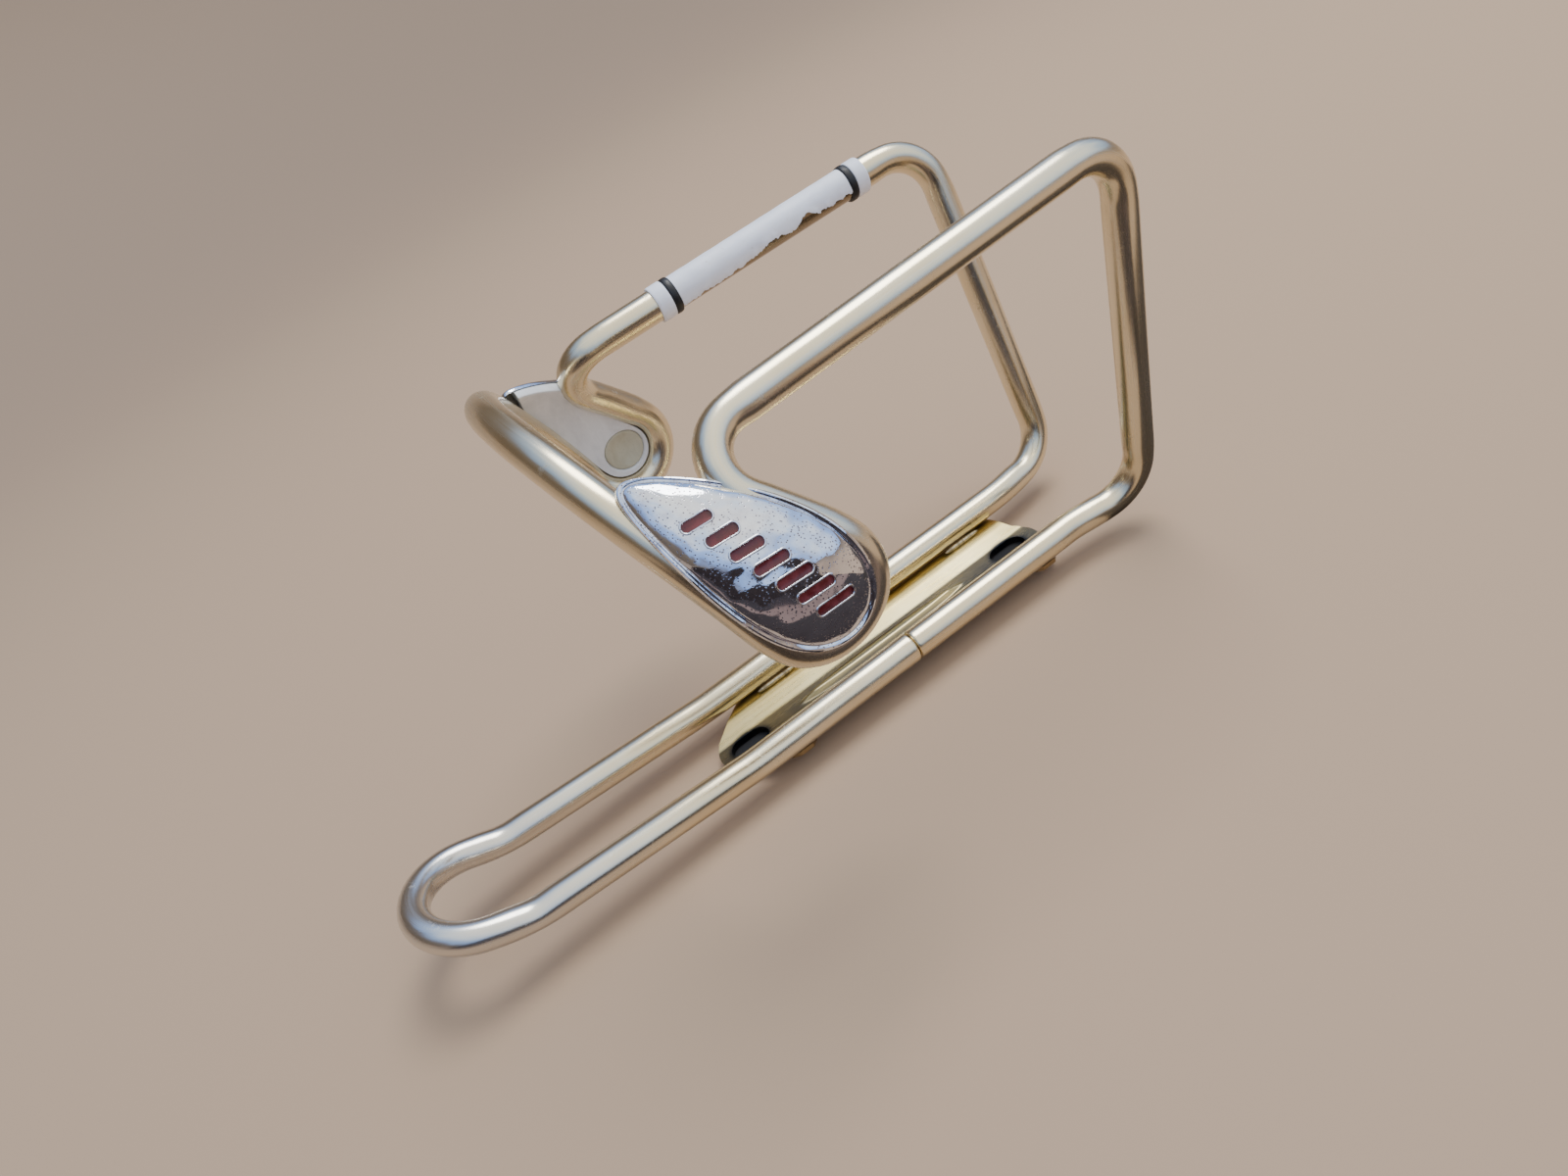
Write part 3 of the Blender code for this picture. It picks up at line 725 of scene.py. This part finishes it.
def black_rubber():
    """Matt black band with a dusty grain."""
    s = Surface("black_rubber", (0.012, 0.012, 0.014), 0.0, 0.5)
    grain = s.noise(s.coordinates((1.0, 1.0, 1.0)), 1800.0, 4.0, 0.6)
    s.colour(s.mix(s.remap(grain, 0.5, 0.75, 0.0, 1.0), (0.008, 0.008, 0.01), (0.026, 0.025, 0.026)))
    s.roughness(s.remap(grain, 0.3, 0.7, 0.35, 0.6))
    s.bump(grain, 0.00004, 0.5)
    return s.mat


def filler():
    """Brazing metal: dull, rippled and a little burnt."""
    s = Surface("filler_bead", (0.55, 0.48, 0.36), 1.0, 0.5)
    ripple = s.noise(s.coordinates((1500.0, 300.0, 300.0)), 1.0, 3.0)
    s.colour(s.mix(s.remap(ripple, 0.35, 0.65, 0.0, 1.0), (0.66, 0.57, 0.38), (0.42, 0.34, 0.22)))
    s.roughness(s.remap(ripple, 0.3, 0.7, 0.35, 0.6))
    s.bump(ripple, 0.0001, 0.6)
    return s.mat


# ---------------------------------------------------------------- pieces

def build_tube(material):
    """The bent tube, slightly flattened in its bends, its two ends eased and one end belled."""
    points = resample(tube_route(), TUBE_STEP)
    first = (points[1] - points[0]).normalized()
    last = (points[-1] - points[-2]).normalized()
    points = ([points[0]] + [points[0] + first * d for d in END_RINGS] + points[1:-1]
              + [points[-1] - last * d for d in reversed(END_RINGS)] + [points[-1]])
    count = len(points)

    def radius(i):
        back = count - 1 - i
        near = min(i, back)
        size = TUBE_R - (END_EASE[near] if near < len(END_EASE) else 0.0)
        if back < BELL_RINGS:
            size += BELL * smooth((BELL_RINGS - back) / 6)
        return size

    bm = sweep(points, radius, flatten=TUBE_FLATTEN)
    new_object("tube", bm, material, ["frame_tube"])


def soft_ramp(v, ease):
    """0 below zero and v above, eased around zero."""
    if abs(v) >= ease:
        return max(0.0, v)
    return (v + ease) ** 2 / (4 * ease)


def plate_height(x, y):
    """Top of the dished plate: flat floor, sloping flanks, flat wings and the pointed rib."""
    a = abs(y)
    slope = (PLATE_TOP - PLATE_FLOOR) / (FLANK_HALF - FLOOR_HALF)
    top = PLATE_FLOOR + slope * (soft_ramp(a - FLOOR_HALF, 0.25) - soft_ramp(a - FLANK_HALF, 0.5))
    mid = (RIB_X[0] + RIB_X[1]) / 2
    t = abs(x - mid) / (RIB_X[1] - mid)
    if t < 1:
        width = RIB_HALF * (1 - t ** 3) + 0.02
        top += RIB_H * smooth(1.25 * (1 - a / width)) * smooth((1 - t) * 4)
    return top


def thickness(y):
    """Sheet thickness, pressed thinner in the wings under the rails."""
    return PLATE_T - 0.45 * smooth((abs(y) - 8.0) / 3.0)


def plate_outline():
    """Plate seen from above: straight sides, tapered ends and a round tongue at each slot."""
    right = []
    left = []
    for k in range(25):
        t = -pi / 4 + pi / 2 * k / 24
        right.append((SLOT_X[1] + TONGUE_R * cos(t) + 0.6, TONGUE_R * sin(t)))
        left.append((SLOT_X[0] - TONGUE_R * cos(t), -TONGUE_R * sin(t)))
    near = [(PLATE_X[0] - 0.8, -PLATE_HALF + 1.2), (PLATE_X[0] + 1.0, -PLATE_HALF),
            (PLATE_X[0] + 4.0, -PLATE_HALF), (PLATE_X[0] + 5.5, -WAIST_HALF),
            (PLATE_X[1] - 5.5, -WAIST_HALF), (PLATE_X[1] - 4.0, -PLATE_HALF),
            (PLATE_X[1] - 1.0, -PLATE_HALF), (PLATE_X[1] + 0.4, -PLATE_HALF + 1.4)]
    return near + right + [(x, -y) for x, y in reversed(near)] + left


def prism(outline, low, high):
    """Upright solid of a flat outline."""
    return loft([[(x, y, low) for x, y in outline], [(x, y, high) for x, y in outline]])


def build_plate(material):
    """The pressed plate: a fine dished sheet trimmed, slotted and eased along its edges."""
    half = [0.25 * i for i in range(36)] + [9.0 + 0.5 * i for i in range(10)]
    across = [-y for y in reversed(half[1:])] + half
    along = [-37.0 + 0.5 * i for i in range(173)]
    bm = bmesh.new()
    for level in (0.0, -1.0):
        rows = [[bm.verts.new(world((x, y, plate_height(x, y) + level * thickness(y)))) for x in along]
                for y in across]
        for a, b in zip(rows, rows[1:]):
            for k in range(len(along) - 1):
                quad = (a[k], a[k + 1], b[k + 1], b[k])
                bm.faces.new(quad if level == 0.0 else quad[::-1])
    rim = [e for e in bm.edges if e.is_boundary]
    bmesh.ops.bridge_loops(bm, edges=rim)
    bm = cut(bm, prism(plate_outline(), -10.0, 0.0), "INTERSECT")
    for x in SLOT_X:
        bm = cut(bm, prism(capsule((x, 0.0), SLOT_LEN, SLOT_W, 0.0, 20), -10.0, 0.0))
    bmesh.ops.recalc_face_normals(bm, faces=bm.faces)
    sharp = [e for e in bm.edges if len(e.link_faces) == 2 and e.calc_face_angle(0.0) > 0.9]
    bmesh.ops.bevel(bm, geom=sharp, offset=EDGE_EASE * MM, segments=3, affect="EDGES", profile=0.5,
                    clamp_overlap=True)
    new_object("plate", bm, material, ["mount_plate"], 0.7)


def badge_point(along, across):
    """Badge coordinates, along its long axis and across it, to the unrolled layout."""
    x = BADGE_MID[0] + along * cos(BADGE_TURN) - across * sin(BADGE_TURN)
    arc = BADGE_MID[1] + along * sin(BADGE_TURN) + across * cos(BADGE_TURN)
    return x, arc


def egg(size, inset, sides):
    """Ring of the badge outline, drawn in by inset and scaled, in badge coordinates."""
    ring = []
    for k in range(sides):
        turn = 2 * pi * k / sides
        along = (BADGE_HALF[0] - inset) * cos(turn) * size
        across = (BADGE_HALF[1] - inset) * sin(turn) * (1 - BADGE_TAPER * cos(turn)) * size
        ring.append((along, across))
    return ring


def dome(size):
    """Height of the cap's dome at a share of its own outline."""
    return DOME_LOW + (DOME_TOP - DOME_LOW) * (1 - min(1.0, size) ** 2.2) ** 0.6


def dome_at(along, across):
    """Height of the dome over a badge point."""
    a, b = (h - RIM[-1][0] for h in BADGE_HALF)
    low, high = abs(along) / a, 1.0
    for _ in range(30):
        mid = (low + high) / 2
        c = max(-1.0, min(1.0, along / (a * mid))) if mid > 0 else 0.0
        if abs(across) > b * mid * sqrt(1 - c * c) * (1 - BADGE_TAPER * c):
            low = mid
        else:
            high = mid
    return dome(high)


def badge_world(along, across, height, base=CAP_BASE):
    """Badge coordinates and height to the layout in space."""
    x, arc = badge_point(along, across)
    return on_bay(x, arc, base + height - drop(arc))


def bar_place(index):
    """Middle and length of one bar of the row, in badge coordinates."""
    return (BAR_START + BAR_PITCH * index, 0.0), BAR_LEN - BAR_SHRINK * index


def groove(radius):
    """Cutter along the near side loop."""
    return sweep(resample(loop_path(), 1.5), radius, 24)


def cap_mesh():
    """Near cap: rolled rim, shallow gutter, dome, and a recess for each bar."""
    rings = [[badge_world(0.0, 0.0, 0.0)]]
    for size in (0.25, 0.5, 0.75, 0.9):
        rings.append([badge_world(u, v, 0.0) for u, v in egg(size, 0.0, DOME_SIDES)])
    for inset, height in RIM:
        rings.append([badge_world(u, v, height) for u, v in egg(1.0, inset, DOME_SIDES)])
    for k in range(1, DOME_STEPS):
        size = 1 - (k / DOME_STEPS) ** 1.7
        rings.append([badge_world(u, v, dome(size)) for u, v in egg(size, RIM[-1][0], DOME_SIDES)])
    rings.append([badge_world(0.0, 0.0, DOME_TOP)])
    bm = loft(rings)
    tool = bmesh.new()
    for k in range(BAR_COUNT):
        centre, length = bar_place(k)
        outline = capsule(centre, length, BAR_W, BAR_SLANT)
        low = [badge_world(u, v, RECESS_FLOOR) for u, v in outline]
        high = [badge_world(u, v, DOME_TOP + 2) for u, v in outline]
        loft([low, high], tool)
    return cut(bm, tool)


def bar_meshes(index):
    """Enamel of one recess, dished between its walls, and the bright bead round its mouth."""
    centre, length = bar_place(index)
    rings = [[badge_world(u, v, RECESS_FLOOR + 0.02) for u, v in capsule(centre, length, BAR_W, BAR_SLANT)]]
    for share in (1.0, 0.85, 0.65, 0.4, 0.15):
        outline = capsule(centre, length - BAR_W * (1 - share), BAR_W * share, BAR_SLANT)
        sink = ENAMEL_SINK + 0.1 * (1 - share ** 2)
        rings.append([badge_world(u, v, dome_at(u, v) - sink) for u, v in outline])
    fill = loft(rings)
    mouth = capsule(centre, length + 0.14, BAR_W + 0.14, BAR_SLANT, 14)
    bead = sweep([badge_world(u, v, dome_at(u, v) - 0.04) for u, v in mouth], BEAD_R, 10, closed=True)
    return fill, bead


def pad_mesh():
    """Near back half: an eased slab that hugs the tube, thins towards the tip and stops square there."""
    span = BADGE_HALF[0]

    def inner(u):
        return 0.1 + 2.7 * smooth((u + span * 0.7) / (span * 1.7))

    rings = [[badge_world(0.0, 0.0, inner(0.0), PAD_BASE)]]
    for size in (0.2, 0.4, 0.6, 0.8, 0.92):
        rings.append([badge_world(u, v, inner(u), PAD_BASE) for u, v in egg(size, 0.25, PAD_SIDES)])
    for inset, rise in ((0.55, 0.02), (0.36, 0.09), (0.25, 0.25)):
        rings.append([badge_world(u, v, inner(u) + rise, PAD_BASE) for u, v in egg(1.0, inset, PAD_SIDES)])
    for size in (1.0, 0.8, 0.6, 0.4, 0.2):
        rings.append([badge_world(u, v, PAD_TOP, PAD_BASE) for u, v in egg(size, 0.25, PAD_SIDES)])
    rings.append([badge_world(0.0, 0.0, PAD_TOP, PAD_BASE)])
    bm = cut(loft(rings), groove(TUBE_R + 0.02))
    outline = [(PAD_STOP_X, 20.0), (PAD_STOP_X, 40.0), (PAD_STOP_X - 12.0, 40.0), (PAD_STOP_X - 12.0, 20.0)]
    bm = cut(bm, loft([[on_bay(x, arc, radius) for x, arc in outline] for radius in (35.0, 50.0)]))
    seat = [[stud_point(STUD_R + flare, k, height) for k in range(STUD_SIDES)] for flare, height in SEAT_WALL]
    return cut(bm, loft(seat))


def stud_point(radius, index, height):
    """Point on a circle about the stud, at a height above the back half's base."""
    turn = 2 * pi * index / STUD_SIDES
    x, arc = STUD_AT[0] + radius * cos(turn), STUD_AT[1] + radius * sin(turn)
    return on_bay(x, arc, PAD_BASE + height - drop(arc))


def stud_mesh():
    """Round head, its face dished to one side, flush in the back half's seat."""
    rings = [[on_bay(*STUD_AT, PAD_BASE + 1.35)]]
    rings += [[stud_point(STUD_R * size, k, 1.35) for k in range(STUD_SIDES)] for size in (0.5, 1.0)]
    for size, height in STUD_FACE:
        rings.append([stud_point(STUD_R * size, k, height) for k in range(STUD_SIDES)])
    rings.append([on_bay(*STUD_AT, PAD_BASE + 0.9)])
    return loft(rings)


def build_badges(mats):
    """Both badges: caps, bars with their beads, back halves and studs."""
    cap, pad, stud = cap_mesh(), pad_mesh(), stud_mesh()
    bars = [bar_meshes(k) for k in range(BAR_COUNT)]
    for label in ("near", "far"):
        turned = (lambda bm: bm.copy()) if label == "near" else mirrored
        new_object(f"cap_{label}", turned(cap), mats["chrome"], [f"badge_cap_{label}"], 0.5)
        new_object(f"pad_{label}", turned(pad), mats["pad"], [f"badge_pad_{label}"], 0.7)
        new_object(f"stud_{label}", turned(stud), mats["stud"], [f"badge_stud_{label}"], 0.9)
        for k, (fill, bead) in enumerate(bars, 1):
            new_object(f"bar_{label}_{k}", turned(fill), mats["enamel"],
                       [f"badge_bar_{label}_{k}"], 0.9)
            new_object(f"bar_rim_{label}_{k}", turned(bead), mats["chrome"], [], 1.2)


def bar_axis():
    """Start and direction of the far upper bar, per millimetre of X."""
    top = Vector((ARM_TOP[0], -ARM_TOP[1], ARM_TOP[2]))
    end = loop_path()[0]
    end = Vector((end.x, -end.y, end.z))
    return top, (end - top) / (end.x - top.x)


def bar_frame(x, turn, radius):
    """Point round the far upper bar; turn 0 is up, growing towards the bottle."""
    top, slope = bar_axis()
    centre = top + slope * (x - top.x)
    axis = slope.normalized()
    up = (Vector((0, 0, 1)) - axis * axis.z).normalized()
    inward = axis.cross(up)
    if inward.y > 0:
        inward = -inward
    return centre + (up * cos(turn) + inward * sin(turn)) * radius


def ring_piece(span, profile, sides=56):
    """Closed ring round the bar from a profile of (share of span, radius)."""
    rings = []
    for share, radius in profile:
        x = span[0] + (span[1] - span[0]) * share
        rings.append([bar_frame(x, 2 * pi * k / sides, radius) for k in range(sides)])
    rings.append(rings[0])
    bm = loft(rings, close_start=False, close_end=False)
    bmesh.ops.remove_doubles(bm, verts=bm.verts, dist=1e-7)
    return bm


def label_sheet():
    """Paper wrapped most of the way round the bar, its lower edge torn and lifted."""
    x0, x1 = LABEL_SPANS["wrap"]
    steps, sides = 150, 40
    inner, outer = (TUBE_R + skin for skin in PAPER_SKIN)
    first, last = PAPER_TURN
    bm = bmesh.new()
    skins = []
    for radius in (outer, inner):
        grid = []
        for i in range(steps + 1):
            x = x0 + (x1 - x0) * i / steps
            t = i / steps
            ragged = 0.16 * noise.noise(Vector((x * 0.9, 3.1, 0.0)))
            ragged += 0.1 * noise.noise(Vector((x * 2.9, 7.7, 0.0)))
            bite = 0.42 * smooth(1 - abs(t - 0.735) / 0.07) + 0.2 * smooth(1 - abs(t - 0.52) / 0.12)
            reach = last - 0.3 * smooth((t - 0.15) / 0.5) + ragged - bite
            row = []
            for k in range(sides + 1):
                share = k / sides
                turn = first + (reach - first) * share
                curl = 0.5 + noise.noise(Vector((x * 0.7, 1.3, 5.0)))
                lift = 0.22 * smooth((share - 0.9) / 0.1) * curl
                wave = 0.05 * noise.noise(Vector((x * 0.35, turn * 1.2, 2.0)))
                row.append(bm.verts.new(world(bar_frame(x, turn, radius + max(0.0, lift) + wave))))
            grid.append(row)
        skins.append(grid)
        for a, b in zip(grid, grid[1:]):
            for k in range(sides):
                bm.faces.new((a[k], a[k + 1], b[k + 1], b[k]))
    bmesh.ops.bridge_loops(bm, edges=[e for e in bm.edges if e.is_boundary])
    return bm


def build_label(mats):
    """Paper wrap, black bands and white end collars on the far upper bar."""
    new_object("label_sheet", label_sheet(), mats["paper"], ["label_wrap"], 0.8)
    band = [(0.0, 3.04), (1.0, 3.04), (1.0, 3.3), (0.93, 3.42), (0.8, 3.5), (0.5, 3.53),
            (0.2, 3.5), (0.07, 3.42), (0.0, 3.3)]
    collar = [(0.0, 3.04), (1.0, 3.04), (1.0, 3.38), (0.96, 3.46), (0.85, 3.5), (0.15, 3.5),
              (0.04, 3.46), (0.0, 3.38)]
    for end in ("inner", "outer"):
        new_object(f"label_ring_{end}", ring_piece(LABEL_SPANS[f"band_{end}"], band), mats["rubber"],
                   [f"label_band_{end}"], 0.8)
        new_object(f"label_end_{end}", ring_piece(LABEL_SPANS[f"collar_{end}"], collar), mats["paper"],
                   [f"label_collar_{end}"], 0.8)


def build_braze(material):
    """Four rippled beads in the nook between rail and plate."""
    for side, label in ((-1, "near"), (1, "far")):
        for x, place in zip(BRAZE_X, ("upper", "lower")):
            points = []
            for k in range(37):
                t = k / 36
                wobble = 0.08 * noise.noise(Vector((t * 9.0, side * 3.0, x)))
                points.append(Vector((x + BRAZE_LEN * (t - 0.5), side * (BRAZE_AT[0] + wobble), BRAZE_AT[1])))

            def radius(i):
                return BRAZE_R * sqrt(max(0.04, 1 - abs(i / 18 - 1) ** 4)) * (1 + 0.08 * sin(i * 1.9))

            new_object(f"bead_{label}_{place}", sweep(points, radius, 14), material,
                       [f"braze_{label}_{place}"], 1.0)


# ---------------------------------------------------------------- stage

def add_camera():
    """Camera at the photograph's angle, over the near side and the tongue."""
    data = bpy.data.cameras.new("camera")
    data.sensor_width = 36.0
    data.lens = CAMERA_LENS
    data.clip_start = 0.005
    cam = bpy.data.objects.new("camera", data)
    turn = Matrix(CAMERA_AXES).transposed()
    cam.matrix_world = Matrix.Translation(world(CAMERA_AT)) @ turn.to_4x4()
    bpy.context.scene.collection.objects.link(cam)
    bpy.context.scene.camera = cam


def add_floor():
    """Plain pale warm floor under the plate's back face, rising far away into a wall only the camera sees."""
    s = Surface("floor", (0.50, 0.355, 0.245), 0.0, 0.9)
    s.shader.inputs["Specular IOR Level"].default_value = 0.0
    bm = bmesh.new()
    rings = [[(0.0, 0.0, 0.0)]]
    for k in range(25):
        turn = pi / 2 * max(0, k - 1) / 23
        reach = FLOOR_R + (BACKDROP_R - FLOOR_R) * sin(turn)
        rise = BACKDROP_H * (1 - cos(turn))
        rings.append([(reach * cos(2 * pi * m / 96), reach * sin(2 * pi * m / 96),
                       rise * (0.56 + 0.44 * sin(2 * pi * m / 96))) for m in range(96)])
    made = [[bm.verts.new(p) for p in ring] for ring in rings]
    for m in range(96):
        n = (m + 1) % 96
        bm.faces.new((made[0][0], made[1][m], made[1][n]))
        for a, b in zip(made[1:], made[2:]):
            bm.faces.new((a[m], b[m], b[n], a[n])).smooth = True
    wall_bm = bmesh.new()
    low = [wall_bm.verts.new(p) for p in rings[-1]]
    high = [wall_bm.verts.new((p[0], p[1], WALL_H)) for p in rings[-1]]
    for m in range(96):
        n = (m + 1) % 96
        wall_bm.faces.new((low[m], high[m], high[n], low[n])).smooth = True
    ground = (0.0, 0.0, CAD_BOX[0][2] - FLOOR_GAP)
    add_stage("floor", bm, s.mat, ground)
    glow = Surface("backdrop", (0.0, 0.0, 0.0), 0.0, 1.0)
    glow.shader.inputs["Specular IOR Level"].default_value = 0.0
    glow.shader.inputs["Emission Color"].default_value = (0.25, 0.2, 0.165, 1.0)
    glow.shader.inputs["Emission Strength"].default_value = 1.0
    wall = add_stage("backdrop", wall_bm, glow.mat, ground)
    wall.visible_diffuse = False
    wall.visible_glossy = False
    wall.visible_shadow = False


def add_stage(name, bm, material, location):
    """Stage object from a bmesh."""
    mesh = bpy.data.meshes.new(name)
    bm.to_mesh(mesh)
    bm.free()
    mesh.materials.append(material)
    obj = bpy.data.objects.new(name, mesh)
    obj.location = location
    bpy.context.scene.collection.objects.link(obj)
    return obj


def add_flag(name, colour, span, rows):
    """Card in front of the cage for the polish to reflect, a painted reflection of shade there; span is its x
    range, rows its (y, z) folds.
    """
    s = Surface(name, colour, 0.0, 0.9)
    bm = bmesh.new()
    folds = [[bm.verts.new((x, y, z)) for x in span] for y, z in rows]
    for a, b in zip(folds, folds[1:]):
        bm.faces.new((a[0], a[1], b[1], b[0]))
    flag = add_stage(name, bm, s.mat, (0.0, 0.0, 0.0))
    flag.visible_camera = False
    flag.visible_diffuse = False
    flag.visible_shadow = False


def add_slot_shade_sheet():
    """Dark sheet under the plate, inside its outline: painted shade that the slots open onto."""
    s = Surface("slot_shade_sheet", (0.012, 0.012, 0.014), 0.0, 0.9)
    bm = bmesh.new()
    x0, x1, half = SLOT_X[0] - 4.6, SLOT_X[1] + 4.6, 3.4
    corners = [(x0, -half), (x1, -half), (x1, half), (x0, half)]
    bm.faces.new([bm.verts.new(world((x, y, -LIFT))) for x, y in corners])
    add_stage("slot_shade_sheet", bm, s.mat, (0.0, 0.0, -0.0002))


def add_area(name, location, target, size, power, colour):
    """Soft box light."""
    data = bpy.data.lights.new(name, "AREA")
    data.shape = "ELLIPSE"
    data.size, data.size_y = size
    data.energy = power
    data.color = colour
    obj = bpy.data.objects.new(name, data)
    obj.location = location
    obj.rotation_euler = (Vector(target) - Vector(location)).to_track_quat("-Z", "Y").to_euler()
    bpy.context.scene.collection.objects.link(obj)


def add_lights():
    """Soft key high in front, under a sky that is bright round SKY_AXIS and dim low down behind."""
    add_area("key", KEY_AT, (0.0, 0.0, 0.04), KEY_SIZE, KEY_POWER, (1.0, 0.985, 0.95))
    sky = bpy.data.worlds.new("sky")
    sky.use_nodes = True
    tree = sky.node_tree
    background = tree.nodes["Background"]
    coord = tree.nodes.new("ShaderNodeTexCoord")
    toward = tree.nodes.new("ShaderNodeVectorMath")
    toward.operation = "DOT_PRODUCT"
    toward.inputs[1].default_value = Vector(SKY_AXIS).normalized()
    ramp = tree.nodes.new("ShaderNodeValToRGB")
    elements = ramp.color_ramp.elements
    while len(elements) < len(SKY_STOPS):
        elements.new(0.5)
    for element, (place, colour) in zip(elements, SKY_STOPS):
        element.position = place
        element.color = (*colour, 1.0)
    clouds = tree.nodes.new("ShaderNodeTexNoise")
    clouds.inputs["Scale"].default_value = 3.6
    clouds.inputs["Detail"].default_value = 4.0
    shift = tree.nodes.new("ShaderNodeMath")
    shift.operation = "MULTIPLY_ADD"
    shift.inputs[1].default_value = SKY_BREAKUP
    level = tree.nodes.new("ShaderNodeMath")
    level.operation = "SUBTRACT"
    level.inputs[1].default_value = SKY_BREAKUP / 2
    tree.links.new(coord.outputs["Generated"], toward.inputs[0])
    tree.links.new(coord.outputs["Generated"], clouds.inputs["Vector"])
    tree.links.new(clouds.outputs["Fac"], shift.inputs[0])
    tree.links.new(toward.outputs["Value"], shift.inputs[2])
    tree.links.new(shift.outputs["Value"], level.inputs[0])
    tree.links.new(level.outputs["Value"], ramp.inputs["Fac"])
    tree.links.new(ramp.outputs["Color"], background.inputs["Color"])
    background.inputs["Strength"].default_value = SKY_STRENGTH
    bpy.context.scene.world = sky


def main():
    """Camera, pieces, stage."""
    add_camera()
    mats = {
        "tube": anodised("anodised_tube_finish", "route"),
        "plate": plate_metal(),
        "chrome": chrome(),
        "enamel": enamel(),
        "pad": grey_moulding("pad_moulding", (0.84, 0.85, 0.86), (0.72, 0.73, 0.74)),
        "stud": grey_moulding("stud_moulding", (0.56, 0.54, 0.42), (0.45, 0.42, 0.30)),
        "paper": paper(),
        "rubber": black_rubber(),
        "filler": filler(),
    }
    build_tube(mats["tube"])
    build_plate(mats["plate"])
    build_badges(mats)
    build_label(mats)
    build_braze(mats["filler"])
    pin = frame["nodes"]["joint_pin"]
    pin.data.materials.clear()
    pin.data.materials.append(anodised("dowel_finish", None))
    add_floor()
    add_slot_shade_sheet()
    for name, (colour, span, folds) in FLAGS.items():
        add_flag(name, colour, span, folds)
    add_lights()


main()
